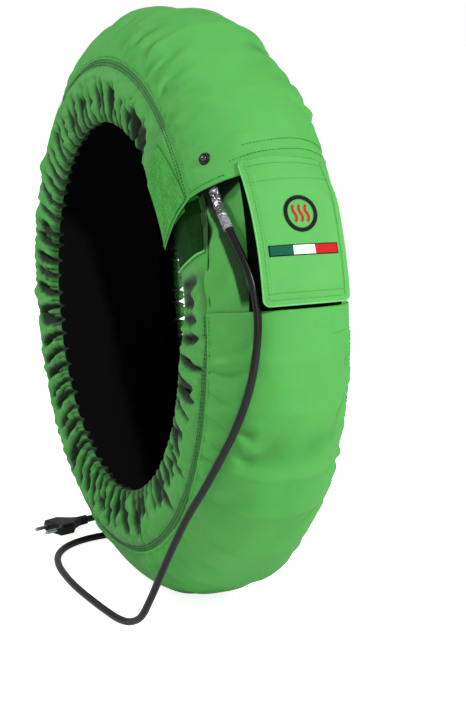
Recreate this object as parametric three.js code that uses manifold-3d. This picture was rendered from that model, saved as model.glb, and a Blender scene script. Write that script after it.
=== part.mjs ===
// Tyre warmer for a motorcycle's rear wheel: a heated, padded band that closes into a ring.
// Units are millimetres and degrees, +Z is up, the ring's axis runs along Y.
// Angles round the ring start at +X and rise towards +Z. The closure is at the upper +X side.
import * as THREE from "three";
import { mergeVertices } from "three/addons/utils/BufferGeometryUtils.js";
import Module from "manifold-3d";

const wasm = await Module();
wasm.setup();

// Ring, over the crown of the cover
const crownRadius = 324;
const seamRadius = 268.9;
const seamHalfWidth = 78.1;
const crownFullness = 2.624;
const crownEdge = 0.898;
const restHeight = 316;
const hemRadius = 203;
const hemHalfWidth = 82.1;

// Cloth, padding and clearances
const clearance = 0.3;
const coverThickness = 1.2;
const skirtThickness = 1.2;
const padThickness = 5;
const carrierThickness = 0.8;
const heatingWireDiameter = 1.6;
const liningThickness = 1;

// Closure round the ring
const flapEdge = 34;
const crossSeam = 9;
const panelLap = 5;
const panelEnd = 47;
const padOverEnd = 51;
const padUnderEnd = 49.5;
const pocketDepth = 11;

// Angular steps: the cover has the fine one, the layers under it every second one
const fineStep = 5;
const bandStep = 10;
const crownStops = [-1, -0.89, -0.7, -0.42, 0, 0.42, 0.7, 0.89, 1];
const bandStops = crownStops.slice(1, -1);
const heaterStops = crownStops.slice(2, -2);

// Gathered side skirts
const skirtSteps = 108;
const skirtOverEndLean = 5.5;
const skirtUnderEnd = 60;
const bellyShare = 0.7147;
const bellyHalfWidth = 81.5;
const foldDepth = 4.5;
const ruffleDepth = 1.2;
const hemReturn = 14;
const hemSlack = 0.6;
const elasticThickness = 1.2;
const elasticWidth = 7;
const elasticRise = 0.9;
const elasticEndGap = 3;

// Where the gathers fade in and out, and where the skirt slips behind its own over end
const gathersFadeIn = [62, 82];
const gathersFadeOut = [335, 350];
const tuckSpan = [350, 370];

// Hook tape behind a skirt's over end, loop tape on its under end
const skirtTapeEdge = 2;
const hookTapeSpan = [33, 56];
const loopTapeSpan = [34, 58];

// Closure tab and the patches under it
const tabTop = 36.5;
const tabEnd = 9.7;
const tabNearEdge = -41;
const tabFarEdge = 57;
const tabThickness = 2.4;
const tabBowRadius = 170;
const tabBowSpan = 10;
const tabCorner = 6;
const tapeThickness = 1.2;
const tapeStart = 13;
const tapeEnd = 31;
const tabTapeEnd = 24.5;
const tapeHalfWidth = 28;

// Indicator lamp
const lampAngle = 40;
const lampSide = -62.5;
const lampFlangeRadius = 6.4;
const lampFlangeHeight = 1.6;
const lampBarrelRadius = 5;
const lampBarrelLength = 8;
const lampLensRadius = 3.4;
const lampNutAcrossFlats = 13;
const lampNutThickness = 2;

// Thermostat
const thermostatAngle = 59;
const thermostatLength = 16;
const thermostatWidth = 7;
const thermostatThickness = 3.2;

// Power cord and its relief
const cordDiameter = 8;
const cordStep = 23;
const ferruleDiameter = 8.4;
const ferruleLength = 20;
const sleeveDiameter = 10.6;
const sleeveWall = 0.6;
const sleeveStart = 4;
const sleeveLength = 56;
const leadDiameter = 1.6;

// Places under the flap, each an angle, a distance along Y and a depth below the cover's face
const cordStart = [37.3, -65, 6.9];
const cordExit = [
  [34, -64.5, 6.9],
  [31, -63, 5],
  [27.5, -60, 2],
  [23.9, -56, 0],
];
const liveLeadStart = [37.52, -63.6, 7];
const liveLeadBends = [
  [38.4, -56.2, 7.4],
  [43, -50, 7.5],
  [48, -49, 7.6],
];
const neutralLeadStart = [37.52, -66, 4.4];
const neutralLeadBends = [
  [38.3, -54.7, 4],
  [43, -47, 4],
  [48.2, -46, 4.6],
];

// The leads cross the butt of the padding, each place a distance along Y and a depth
const liveLeadButt = [[-46, 8.6]];
const neutralLeadButt = [
  [-43, 5],
  [-24, 7],
  [-18, 8.7],
];

// Coil of spare cord behind the ring
const coilCentre = [-215, 62];
const coilMidRadius = 44;
const coilLift = 1.5;
const tieThickness = 1.2;
const tieWidth = 14;

// Plug
const plugLength = 54;
const plugWidth = 38;
const plugDepth = 14;
const plugReliefDiameter = 11.5;
const pinDiameter = 4.8;
const pinLength = 19;
const pinSpacing = 19;
const plugHeading = [0.38, -0.92];
const plugRear = [-229.5, -36];

const group = new THREE.Group();

const materials = {
  green_nylon: new THREE.MeshStandardMaterial({ color: 0x3fb845, roughness: 0.62 }),
  hook_tape: new THREE.MeshStandardMaterial({ color: 0x2f9a38, roughness: 0.9 }),
  tab_nylon: new THREE.MeshStandardMaterial({ color: 0x46c24b, roughness: 0.58 }),
  black_lining: new THREE.MeshStandardMaterial({ color: 0x141416, roughness: 0.88 }),
  felt: new THREE.MeshStandardMaterial({ color: 0xc9c6bd, roughness: 0.95 }),
  glass_cloth: new THREE.MeshStandardMaterial({ color: 0xd9d4c2, roughness: 0.8 }),
  silicone: new THREE.MeshStandardMaterial({ color: 0xa8321e, roughness: 0.5 }),
  elastic: new THREE.MeshStandardMaterial({ color: 0xe8e6e0, roughness: 0.9 }),
  black_plastic: new THREE.MeshStandardMaterial({ color: 0x121214, roughness: 0.35 }),
  lens: new THREE.MeshStandardMaterial({ color: 0xf3f4f2, roughness: 0.08 }),
  crimp: new THREE.MeshStandardMaterial({ color: 0xb9babd, roughness: 0.3, metalness: 0.9 }),
  clear_tube: new THREE.MeshStandardMaterial({ color: 0xd8dcdd, roughness: 0.15 }),
  cord_rubber: new THREE.MeshStandardMaterial({ color: 0x0d0d0e, roughness: 0.32 }),
  pin_nickel: new THREE.MeshStandardMaterial({ color: 0xd4d5d8, roughness: 0.16, metalness: 1 }),
};

function add(name, geometry, material) {
  const mesh = new THREE.Mesh(geometry, material);
  mesh.name = name;
  group.add(mesh);
  return mesh;
}

const radians = (angle) => (angle * Math.PI) / 180;

// Closed bodies

// Turns a loft's faces outwards if they came out facing in.
function facingOut(positions, index) {
  const corner = (i) => new THREE.Vector3(...positions.slice(3 * i, 3 * i + 3));
  let volume = 0;
  for (let i = 0; i < index.length; i += 3) {
    const [a, b, c] = [corner(index[i]), corner(index[i + 1]), corner(index[i + 2])];
    volume += a.dot(b.cross(c));
  }
  if (volume < 0) index.reverse();
  return new THREE.BufferGeometry()
    .setAttribute("position", new THREE.Float32BufferAttribute(positions, 3))
    .setIndex(index);
}

// Which fold of a four-cornered face stands further from the ring's axis, so that nested layers fold alike
function bowsOut(a, b, c, d) {
  const reach = (p, q) => Math.hypot(p.x + q.x, p.z + q.z - 2 * restHeight);
  return reach(a, c) > reach(b, d);
}

// A closed body through sections with the same count of corners. capOutline is a section laid flat.
function loft(sections, capOutline) {
  const count = sections[0].length;
  const positions = sections.flat().flatMap((p) => [p.x, p.y, p.z]);
  const index = [];
  for (let s = 0; s + 1 < sections.length; s++) {
    for (let i = 0; i < count; i++) {
      const next = (i + 1) % count;
      const [a, b] = [s * count + i, s * count + next];
      if (bowsOut(sections[s][i], sections[s][next], sections[s + 1][next], sections[s + 1][i])) {
        index.push(a, b, b + count, a, b + count, a + count);
      } else {
        index.push(a, b, a + count, b, b + count, a + count);
      }
    }
  }
  const last = (sections.length - 1) * count;
  const turn = (face) => THREE.ShapeUtils.area(face.map((i) => capOutline[i])) > 0;
  const outlineTurn = THREE.ShapeUtils.area(capOutline) > 0;
  for (const face of THREE.ShapeUtils.triangulateShape(capOutline.slice(), [])) {
    const [a, b, c] = turn(face) === outlineTurn ? face : [face[2], face[1], face[0]];
    index.push(c, b, a);
    index.push(last + a, last + b, last + c);
  }
  return facingOut(positions, index);
}

// A body round the ring: section(angle) gives its corners, and the cap is flattened to width and radius.
function ringLoft(angles, section) {
  const sections = angles.map(section);
  const outline = sections[0].map((p) => new THREE.Vector2(p.y, Math.hypot(p.x, p.z - restHeight)));
  return loft(sections, outline);
}

// A straight-sided tube with mitred corners through points.
function mitredTube(points, diameter, sides) {
  const heading = points.slice(1).map((p, i) => p.clone().sub(points[i]).normalize());
  const side = new THREE.Vector3(0, 1, 0).cross(heading[0]);
  if (side.length() < 0.1) side.set(1, 0, 0).cross(heading[0]);
  side.normalize();
  let across = side;
  const sections = points.map((point, i) => {
    const before = heading[Math.max(i - 1, 0)];
    const after = heading[Math.min(i, heading.length - 1)];
    const mitre = before.clone().add(after).normalize();
    const up = before.clone().cross(across).normalize();
    const ring = [];
    for (let k = 0; k < sides; k++) {
      const turn = (2 * Math.PI * (k + 0.5)) / sides;
      const arm = across.clone().multiplyScalar(Math.cos(turn)).addScaledVector(up, Math.sin(turn));
      arm.multiplyScalar(diameter / 2);
      arm.addScaledVector(before, -arm.dot(mitre) / before.dot(mitre));
      ring.push(point.clone().add(arm));
    }
    across = across.clone().applyQuaternion(new THREE.Quaternion().setFromUnitVectors(before, after));
    return ring;
  });
  const outline = [];
  for (let k = 0; k < sides; k++) {
    const turn = (2 * Math.PI * (k + 0.5)) / sides;
    outline.push(new THREE.Vector2(Math.cos(turn), Math.sin(turn)));
  }
  return loft(sections, outline);
}

function circle(radius, sides) {
  const outline = [];
  for (let k = 0; k < sides; k++) {
    const turn = (2 * Math.PI * k) / sides;
    outline.push(new THREE.Vector2(radius * Math.cos(turn), radius * Math.sin(turn)));
  }
  return outline;
}

// A round tube along a curve, solid or with a bore
function tube(curve, steps, radius, sides, bore = 0) {
  const shape = new THREE.Shape(circle(radius, sides));
  if (bore) shape.holes.push(new THREE.Path(circle(bore, sides).reverse()));
  return new THREE.ExtrudeGeometry(shape, { steps, extrudePath: curve, curveSegments: 1 });
}

function solidOf(geometry) {
  const bare = geometry.index ? geometry.toNonIndexed() : geometry.clone();
  bare.deleteAttribute("normal");
  bare.deleteAttribute("uv");
  const merged = mergeVertices(bare, 1e-3);
  return new wasm.Manifold(
    new wasm.Mesh({
      numProp: 3,
      vertProperties: merged.attributes.position.array,
      triVerts: new Uint32Array(merged.index.array),
    }),
  );
}

function cutAway(geometry, tool) {
  const mesh = solidOf(geometry).subtract(solidOf(tool)).getMesh();
  return new THREE.BufferGeometry()
    .setAttribute("position", new THREE.BufferAttribute(mesh.vertProperties, 3))
    .setIndex(new THREE.BufferAttribute(mesh.triVerts, 1));
}

// Places on the ring

const crownHeight = crownRadius - seamRadius;

function crownRadiusAt(t) {
  return seamRadius + crownHeight * (1 - Math.abs(t) ** crownFullness) ** crownEdge;
}

// A point of the crown's section, t from seam to seam, sunk by depth along the crown's own normal
function crownPoint(t, depth) {
  const m = Math.min(Math.abs(t), 0.999);
  const rise = (crownHeight * crownEdge * crownFullness) / seamHalfWidth;
  const steep = m ** (crownFullness - 1) * (1 - m ** crownFullness) ** (crownEdge - 1);
  const slope = -Math.sign(t) * rise * steep;
  const unit = 1 / Math.hypot(1, slope);
  return { y: seamHalfWidth * t + slope * unit * depth, r: crownRadiusAt(t) - unit * depth };
}

function polar(angle, y, r) {
  const turn = radians(angle);
  return new THREE.Vector3(r * Math.cos(turn), y, restHeight + r * Math.sin(turn));
}

// How far the floor pushes the crown in
function flatSpot(angle, t) {
  const down = Math.cos(radians(angle + 90));
  return down > 0.5 ? Math.max(0, crownRadiusAt(t) - restHeight / down) : 0;
}

function ringVertex(angle, t, depth) {
  const at = crownPoint(t, depth);
  return polar(angle, at.y, at.r - flatSpot(angle, t));
}

// A point on the flat facets that span the ring's angular steps, which start at the flap's edge
function onFacet(angle, step, vertexAt) {
  const low = flapEdge + step * Math.floor((angle - flapEdge) / step + 1e-9);
  return vertexAt(low).lerp(vertexAt(low + step), (angle - low) / step);
}

// The two ends and each angular step between them
function stations(from, to, step) {
  const angles = [from];
  let angle = flapEdge + step * Math.ceil((from - flapEdge) / step + 1e-6);
  for (; angle < to - 1e-6; angle += step) angles.push(angle);
  angles.push(to);
  return angles;
}

// A layer of the band between two depths, which may vary round it and across it
function layer(from, to, step, stops, depthAt, thickness) {
  return ringLoft(stations(from, to, step), (angle) => {
    const point = (t, extra) =>
      onFacet(angle, step, (at) => ringVertex(at, t, depthAt(at, t) + extra));
    const outer = stops.map((t) => point(t, 0));
    const inner = stops.map((t) => point(t, thickness)).reverse();
    return [...outer, ...inner];
  });
}

const panelDepth = coverThickness + clearance;
const padDepth = panelDepth;
const underPadDepth = panelDepth + coverThickness + clearance;

// The pocket under the flap's near side, for the lamp and the cable
function pocket(angle, t) {
  const start = crossSeam + panelLap;
  const sink = THREE.MathUtils.clamp((angle - start) / (flapEdge - start), 0, 1);
  const side = THREE.MathUtils.clamp((crownStops[3] - t) / (crownStops[3] - crownStops[2]), 0, 1);
  return pocketDepth * sink * side;
}

// Past a full turn the inner layers run under the panel
function bandDepth(angle, t) {
  const turned = angle - 360;
  if (turned < crossSeam - 2 * panelLap) return padDepth;
  return underPadDepth + pocket(turned, t);
}

const carrierRise = padThickness + clearance;
const wireRise = carrierRise + carrierThickness + clearance + heatingWireDiameter / 2;
const liningRise = wireRise + heatingWireDiameter / 2 + clearance;

// Lamp place, on the middle of a facet of the flap

function facetFrame(angle, side, depthAt, stops, step) {
  const share = side / seamHalfWidth;
  const k = stops.findIndex((t, i) => share >= t && share <= stops[i + 1]);
  const vertex = (t) => onFacet(angle, step, (at) => ringVertex(at, t, depthAt(at, t)));
  const [a, b] = [vertex(stops[k]), vertex(stops[k + 1])];
  const origin = a.clone().lerp(b, (side - a.y) / (b.y - a.y));
  const across = b.clone().sub(a).normalize();
  const along = polar(angle + 0.1, 0, crownRadius).sub(polar(angle - 0.1, 0, crownRadius)).normalize();
  const out = across.clone().cross(along).normalize();
  if (out.x * Math.cos(radians(angle)) + out.z * Math.sin(radians(angle)) < 0) out.negate();
  return new THREE.Matrix4().makeBasis(across, out.clone().cross(across), out).setPosition(origin);
}

const lampFrame = facetFrame(lampAngle, lampSide, () => 0, crownStops, fineStep);

// Outer cover: one strip from the flap's edge round to the cross seam

const lampHole = new THREE.CylinderGeometry(
  lampBarrelRadius + clearance,
  lampBarrelRadius + clearance,
  4 * coverThickness,
  16,
)
  .rotateX(Math.PI / 2)
  .applyMatrix4(lampFrame);

const coverStrip = layer(flapEdge, crossSeam + 360, fineStep, crownStops, () => 0, coverThickness);
add("outer_cover", cutAway(coverStrip, lampHole), materials.green_nylon);

// Panel sewn on at the cross seam, which runs up under the flap
add(
  "under_panel",
  layer(
    crossSeam - panelLap,
    panelEnd,
    bandStep,
    crownStops,
    (angle, t) => panelDepth + pocket(angle, t),
    coverThickness,
  ),
  materials.green_nylon,
);

// Padding, heater and lining, butted under the flap

const padEnd = padUnderEnd + 360;

const thermostatFrame = facetFrame(
  thermostatAngle,
  (seamHalfWidth * bandStops[4]) / 2,
  (angle, t) => bandDepth(angle, t) + padThickness,
  bandStops,
  bandStep,
);
const thermostatSeat = (spare) =>
  new THREE.BoxGeometry(
    thermostatWidth + 2 * spare,
    thermostatLength + 2 * spare,
    thermostatThickness + 2 * spare,
  )
    .translate(0, 0, thermostatThickness / 2)
    .applyMatrix4(thermostatFrame);

add(
  "insulation_pad",
  cutAway(
    layer(padOverEnd, padEnd, bandStep, bandStops, bandDepth, padThickness),
    thermostatSeat(clearance),
  ),
  materials.felt,
);
add("thermostat", thermostatSeat(0), materials.black_plastic);

const heaterStart = padOverEnd + 1;
const heaterEnd = padEnd - 1;
add(
  "heater_carrier",
  layer(
    heaterStart,
    heaterEnd,
    bandStep,
    heaterStops,
    (angle, t) => bandDepth(angle, t) + carrierRise,
    carrierThickness,
  ),
  materials.glass_cloth,
);
add(
  "inner_lining",
  layer(
    padOverEnd,
    padEnd,
    bandStep,
    bandStops,
    (angle, t) => bandDepth(angle, t) + liningRise,
    liningThickness,
  ),
  materials.black_lining,
);

// Heating wire: four runs round the ring, nested so that both ends are on the cable's side

const foldNoted = 0.1;
const wireStart = heaterStart + 1;
const outerTurn = heaterEnd - 1;
const innerTurn = outerTurn - 2;

function wirePoint(angle, lane) {
  const edge = (t) =>
    onFacet(angle, bandStep, (at) => ringVertex(at, t, bandDepth(at, t) + wireRise));
  return edge(heaterStops[lane]).lerp(edge(heaterStops[lane + 1]), 0.5);
}

// Along a lane, with one more point where a facet is folded
function wireRun(lane, from, to) {
  const angles = stations(from, to, bandStep);
  const points = [];
  for (const angle of angles) {
    points.push(wirePoint(angle, lane));
    const next = angles[angles.indexOf(angle) + 1];
    const whole = next - angle > bandStep - 1e-6;
    if (!whole) continue;
    const corner = (at, t) => ringVertex(at, t, bandDepth(at, t) + wireRise);
    const [a, b] = [corner(angle, heaterStops[lane]), corner(angle, heaterStops[lane + 1])];
    const [c, d] = [corner(next, heaterStops[lane + 1]), corner(next, heaterStops[lane])];
    const facet = new THREE.Plane().setFromCoplanarPoints(a, b, c);
    if (Math.abs(facet.distanceToPoint(d)) < foldNoted) continue;
    points.push(bowsOut(a, b, c, d) ? a.lerp(c, 0.5) : b.lerp(d, 0.5));
  }
  return points;
}

// Across the ring at one angle, by the corner of each facet between two lanes
function wireCrossing(angle, laneFrom, laneTo) {
  const points = [];
  for (let k = Math.min(laneFrom, laneTo) + 1; k <= Math.max(laneFrom, laneTo); k++) {
    const t = heaterStops[k];
    points.push(onFacet(angle, bandStep, (at) => ringVertex(at, t, bandDepth(at, t) + wireRise)));
  }
  return laneFrom < laneTo ? points : points.reverse();
}

const wirePath = [
  ...wireRun(0, wireStart, outerTurn),
  ...wireCrossing(outerTurn, 0, 3),
  ...wireRun(3, wireStart, outerTurn).reverse(),
  ...wireCrossing(wireStart, 3, 2),
  ...wireRun(2, wireStart, innerTurn),
  ...wireCrossing(innerTurn, 2, 1),
  ...wireRun(1, wireStart, innerTurn).reverse(),
];
add("heating_wire", mitredTube(wirePath, heatingWireDiameter, 4), materials.silicone);

// Side skirts: gathered strips sewn to the cover, with an elastic in the hem

const hemDepth = 2 * skirtThickness + elasticThickness + 2 * ruffleDepth + 2 * clearance + hemSlack;
const tuck = hemDepth + clearance;
const skirtTapeThickness = (tuck - skirtThickness - 3 * clearance) / 2;
const bellyRadius = THREE.MathUtils.lerp(hemRadius, seamRadius, bellyShare);

function tuckShare(angle) {
  const [start, end] = tuckSpan;
  return THREE.MathUtils.clamp((angle - start) / (end - start), 0, 1);
}

// How far the top of a skirt lies inside the cover's own edge
function skirtTopDepth(angle, t) {
  const turned = angle - 360;
  if (turned < crossSeam - 2 * panelLap) return 0;
  return panelDepth + pocket(turned, t);
}

function foldShare(angle) {
  const from = THREE.MathUtils.smoothstep(angle, ...gathersFadeIn);
  const to = 1 - THREE.MathUtils.smoothstep(angle, ...gathersFadeOut);
  return Math.min(from, to);
}

function skirtSection(side, station) {
  const share = station / skirtSteps;
  const endAngle = 360 + skirtUnderEnd;
  const angleAt = (radius) => {
    const lean = skirtOverEndLean * (1 - (radius - hemRadius) / (seamRadius - hemRadius));
    return THREE.MathUtils.lerp(flapEdge - lean, endAngle, share);
  };
  const topAngle = angleAt(seamRadius);
  const step = topAngle > tuckSpan[0] ? bandStep : fineStep;
  const top = (extra) => {
    const at = onFacet(topAngle, step, (a) => ringVertex(a, side, skirtTopDepth(a, side) + extra));
    const down = polar(topAngle, 0, clearance).setZ(clearance * Math.sin(radians(topAngle)));
    return at.sub(down);
  };
  const swing = foldShare(topAngle);
  const foldWave = Math.sin(1.9 * station + 0.9 * Math.sin(0.37 * station));
  const fold = foldDepth * (0.25 + 0.75 * foldWave * (0.65 + 0.35 * Math.sin(0.71 * station)));
  const ruffle = (station % 2 ? 1 : -1) * ruffleDepth * (0.7 + 0.3 * Math.cos(1.3 * station));
  const point = (radius, halfWidth, wave) => {
    const angle = angleAt(radius);
    const out = halfWidth + swing * wave - tuck * tuckShare(angle);
    return polar(angle, side * out, radius);
  };
  const cloth = skirtThickness;
  const inside = hemHalfWidth - hemDepth;
  return [
    top(0),
    point(bellyRadius, bellyHalfWidth, fold),
    point(hemRadius, hemHalfWidth, ruffle),
    point(hemRadius, inside, ruffle),
    point(hemRadius + hemReturn, inside, ruffle),
    point(hemRadius + hemReturn, inside + cloth, ruffle),
    point(hemRadius + cloth, inside + cloth, ruffle),
    point(hemRadius + cloth, hemHalfWidth - cloth, ruffle),
    point(bellyRadius, bellyHalfWidth - cloth, fold),
    top(cloth),
  ];
}

function skirt(side) {
  const sections = [];
  for (let station = 0; station <= skirtSteps; station++) {
    sections.push(skirtSection(side, station));
  }
  const outline = sections[0].map((p) => new THREE.Vector2(p.y, Math.hypot(p.x, p.z - restHeight)));
  return loft(sections, outline);
}

function elastic(side) {
  const inside = hemHalfWidth - hemDepth;
  const middle = inside + skirtThickness + ruffleDepth + clearance + elasticThickness / 2;
  const bottom = hemRadius + skirtThickness + clearance + elasticRise;
  const start = flapEdge - elasticEndGap;
  const end = 360 + skirtUnderEnd - elasticEndGap;
  const angles = [start];
  for (let angle = start + bandStep; angle < end; angle += bandStep) angles.push(angle);
  angles.push(end);
  return ringLoft(angles, (angle) => {
    const out = middle - tuck * tuckShare(angle);
    const [low, high] = [out - elasticThickness / 2, out + elasticThickness / 2];
    return [
      polar(angle, side * high, bottom),
      polar(angle, side * high, bottom + elasticWidth),
      polar(angle, side * low, bottom + elasticWidth),
      polar(angle, side * low, bottom),
    ];
  });
}

const skirtTapeLow = hemRadius + hemReturn + skirtTapeEdge;
const skirtTapeHigh = bellyRadius - skirtTapeEdge / 2;

function skirtTape(side, [from, to], behind) {
  const outAt = (radius) => {
    const share = (radius - hemRadius) / (bellyRadius - hemRadius);
    return THREE.MathUtils.lerp(hemHalfWidth, bellyHalfWidth, share) - behind;
  };
  return ringLoft(stations(from, to, bandStep / 2), (angle) => [
    polar(angle, side * outAt(skirtTapeLow), skirtTapeLow),
    polar(angle, side * outAt(skirtTapeHigh), skirtTapeHigh),
    polar(angle, side * (outAt(skirtTapeHigh) - skirtTapeThickness), skirtTapeHigh),
    polar(angle, side * (outAt(skirtTapeLow) - skirtTapeThickness), skirtTapeLow),
  ]);
}

const hookBehind = skirtThickness + clearance;
const loopBehind = tuck - skirtTapeThickness - clearance;
for (const [word, side] of [
  ["near", -1],
  ["far", 1],
]) {
  add(`${word}_side_skirt`, skirt(side), materials.green_nylon);
  add(`${word}_hem_elastic`, elastic(side), materials.elastic);
  add(`${word}_skirt_hook_tape`, skirtTape(side, hookTapeSpan, hookBehind), materials.hook_tape);
  add(`${word}_skirt_loop_tape`, skirtTape(side, loopTapeSpan, loopBehind), materials.hook_tape);
}

// Closure tab: sewn to the flap's end, bowed over the crown below it

const tabStops = [
  tabNearEdge,
  ...crownStops.map((t) => t * seamHalfWidth).filter((y) => y > tabNearEdge && y < tabFarEdge),
  tabFarEdge,
];

function coverRadiusAt(y) {
  const t = y / seamHalfWidth;
  const k = crownStops.findIndex((stop, i) => t >= stop && t <= crownStops[i + 1]);
  const share = (t - crownStops[k]) / (crownStops[k + 1] - crownStops[k]);
  return THREE.MathUtils.lerp(crownRadiusAt(crownStops[k]), crownRadiusAt(crownStops[k + 1]), share);
}

// Clear height of the tab over the cover: close at its sewn top, room for the tape below
const tabLift = tapeThickness + 2 * clearance;

function tabRadius(angle, y) {
  const free = THREE.MathUtils.clamp((tabTop - angle) / tabBowSpan, 0, 1);
  const lift = THREE.MathUtils.lerp(clearance, tabLift, Math.min(1, 3 * free));
  const bowed = Math.max(crownRadius - (y * y) / (2 * tabBowRadius), coverRadiusAt(y));
  return THREE.MathUtils.lerp(coverRadiusAt(y), bowed, free) + lift;
}

function tabSection(angle, inset) {
  const squeeze = (y) => {
    const middle = (tabNearEdge + tabFarEdge) / 2;
    const half = (tabFarEdge - tabNearEdge) / 2;
    return middle + ((y - middle) * (half - inset)) / half;
  };
  const row = (extra) =>
    tabStops.map((y) =>
      onFacet(angle, fineStep, (at) => polar(at, squeeze(y), tabRadius(at, y) + extra)),
    );
  return [...row(0), ...row(tabThickness).reverse()];
}

const cornerAngle = THREE.MathUtils.radToDeg(tabCorner / crownRadius);
const tabAngles = stations(tabEnd + cornerAngle, tabTop, fineStep);
const tabSections = [
  tabSection(tabEnd, tabCorner),
  tabSection(tabEnd + 0.3 * cornerAngle, 0.3 * tabCorner),
  ...tabAngles.map((angle) => tabSection(angle, 0)),
];
const tabOutline = tabSections[0].map((p) => new THREE.Vector2(p.y, Math.hypot(p.x, p.z - restHeight)));
add("closure_tab", loft(tabSections, tabOutline), materials.tab_nylon);

// Loop tape on the panel and hook tape under the tab
const tapeStops = crownStops.filter((t) => Math.abs(t * seamHalfWidth) < tapeHalfWidth);
const tapeEdge = tapeHalfWidth / seamHalfWidth;
const tapeAcross = [-tapeEdge, ...tapeStops, tapeEdge];

function tapeOnPanel(angle, extra) {
  return tapeAcross.map((t) => {
    const y = t * seamHalfWidth;
    return onFacet(angle, bandStep, (at) => polar(at, y, coverRadiusAt(y) - panelDepth + extra));
  });
}
add(
  "panel_loop_tape",
  ringLoft(stations(tapeStart, tapeEnd, bandStep), (angle) => [
    ...tapeOnPanel(angle, clearance),
    ...tapeOnPanel(angle, clearance + tapeThickness).reverse(),
  ]),
  materials.hook_tape,
);

function tapeUnderTab(angle, extra) {
  return tapeAcross.map((t) => {
    const y = t * seamHalfWidth;
    const k = tabStops.findIndex((stop, i) => y >= stop && y <= tabStops[i + 1]);
    const share = (y - tabStops[k]) / (tabStops[k + 1] - tabStops[k]);
    const under = (at) => THREE.MathUtils.lerp(tabRadius(at, tabStops[k]), tabRadius(at, tabStops[k + 1]), share);
    return onFacet(angle, fineStep, (at) => polar(at, y, under(at) - extra));
  });
}
add(
  "tab_hook_tape",
  ringLoft(stations(tapeStart, tabTapeEnd, fineStep), (angle) => [
    ...tapeUnderTab(angle, clearance + tapeThickness),
    ...tapeUnderTab(angle, clearance).reverse(),
  ]),
  materials.hook_tape,
);

// Indicator lamp: a flanged holder through the flap, its lens, and the nut behind

function lathe(profile, sides) {
  return new THREE.LatheGeometry(
    profile.map(([r, h]) => new THREE.Vector2(r, h)),
    sides,
  );
}

const lampAxis = (geometry) => geometry.rotateX(Math.PI / 2).applyMatrix4(lampFrame);
const holderBore = lampLensRadius + clearance;
const flangeTop = clearance + lampFlangeHeight;
const holderProfile = [
  [holderBore, -lampBarrelLength],
  [lampBarrelRadius, -lampBarrelLength],
  [lampBarrelRadius, clearance],
  [lampFlangeRadius, clearance],
  [lampFlangeRadius, flangeTop - 0.5],
  [lampFlangeRadius - 0.7, flangeTop],
  [holderBore, flangeTop],
  [holderBore, -lampBarrelLength],
];
add("lamp_holder", lampAxis(lathe(holderProfile, 16)), materials.black_plastic);

const lensProfile = [
  [0, -0.7 * lampBarrelLength],
  [lampLensRadius, -0.7 * lampBarrelLength],
  [lampLensRadius, flangeTop],
  [0.85 * lampLensRadius, flangeTop + 0.9],
  [0.5 * lampLensRadius, flangeTop + 1.6],
  [0, flangeTop + 1.9],
];
add("lamp_lens", lampAxis(lathe(lensProfile, 12)), materials.lens);

const nutShape = new THREE.Shape(circle(lampNutAcrossFlats / Math.sqrt(3), 6));
nutShape.holes.push(new THREE.Path(circle(lampBarrelRadius + 2 * clearance, 12).reverse()));
const nut = new THREE.ExtrudeGeometry(nutShape, { depth: lampNutThickness, bevelEnabled: false })
  .translate(0, 0, -coverThickness - clearance - lampNutThickness)
  .applyMatrix4(lampFrame);
add("lamp_nut", nut, materials.black_plastic);

// Cable exit under the flap: crimped ferrule and clear sleeve on the cord's own path

// A point sunk below the flap, on the facets of the band's layers
function underFlap(angle, side, depth) {
  const t = side / seamHalfWidth;
  const k = crownStops.findIndex((stop, i) => t >= stop && t <= crownStops[i + 1]);
  const share = (t - crownStops[k]) / (crownStops[k + 1] - crownStops[k]);
  const at = (i) => onFacet(angle, bandStep, (a) => ringVertex(a, crownStops[i], depth));
  return at(k).lerp(at(k + 1), share);
}

// The route's points, in the ring's frame with the floor at zero
const exitPoints = [cordStart, ...cordExit].map((place) => underFlap(...place));
const hangPoints = [
  [306, -46.5, 396],
  [316, -44, 362],
  [319, -45.5, 338.5],
  [318, -49, 308],
  [312, -54, 277.5],
  [300, -62, 243],
  [285, -71, 211.5],
  [266, -81, 177],
  [245, -91, 143],
  [226, -99, 108],
  [209, -106, 74],
  [194, -112, 44],
  [178, -117, 20],
  [158, -121, 9],
  [136, -125, 5.2],
  [100, -128, 4.2],
  [60, -130, 4.2],
  [15, -131, 4.2],
  [-30, -129, 4.2],
  [-75, -123, 4.2],
  [-112, -111, 4.2],
  [-141, -90, 4.2],
  [-159, -62, 4.2],
  [-167, -28, 4.2],
  [-167, 5, 4.2],
  [-167, 33.6, 4.6],
].map(([x, y, z]) => new THREE.Vector3(x, y, z));
const tailPoints = [
  [-259, 28.2, 12.5],
  [-258.6, 15, 9.3],
  [-255, 3, 6.2],
  [-248, -7.5, 5.2],
  [-240.5, -15.5, 5.6],
  [-234.7, -23.4, 6.6],
].map(([x, y, z]) => new THREE.Vector3(x, y, z));

const route = new THREE.CatmullRomCurve3([...exitPoints, ...hangPoints], false, "centripetal");
route.arcLengthDivisions = 800;

// A part of the route between two lengths along it
class Stretch extends THREE.Curve {
  constructor(curve, from, to) {
    super();
    this.curve = curve;
    this.ends = [from, to];
  }
  getPoint(t, target = new THREE.Vector3()) {
    const length = THREE.MathUtils.lerp(this.ends[0], this.ends[1], t);
    return target.copy(this.curve.getPointAt(length / this.curve.getLength()));
  }
}

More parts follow.
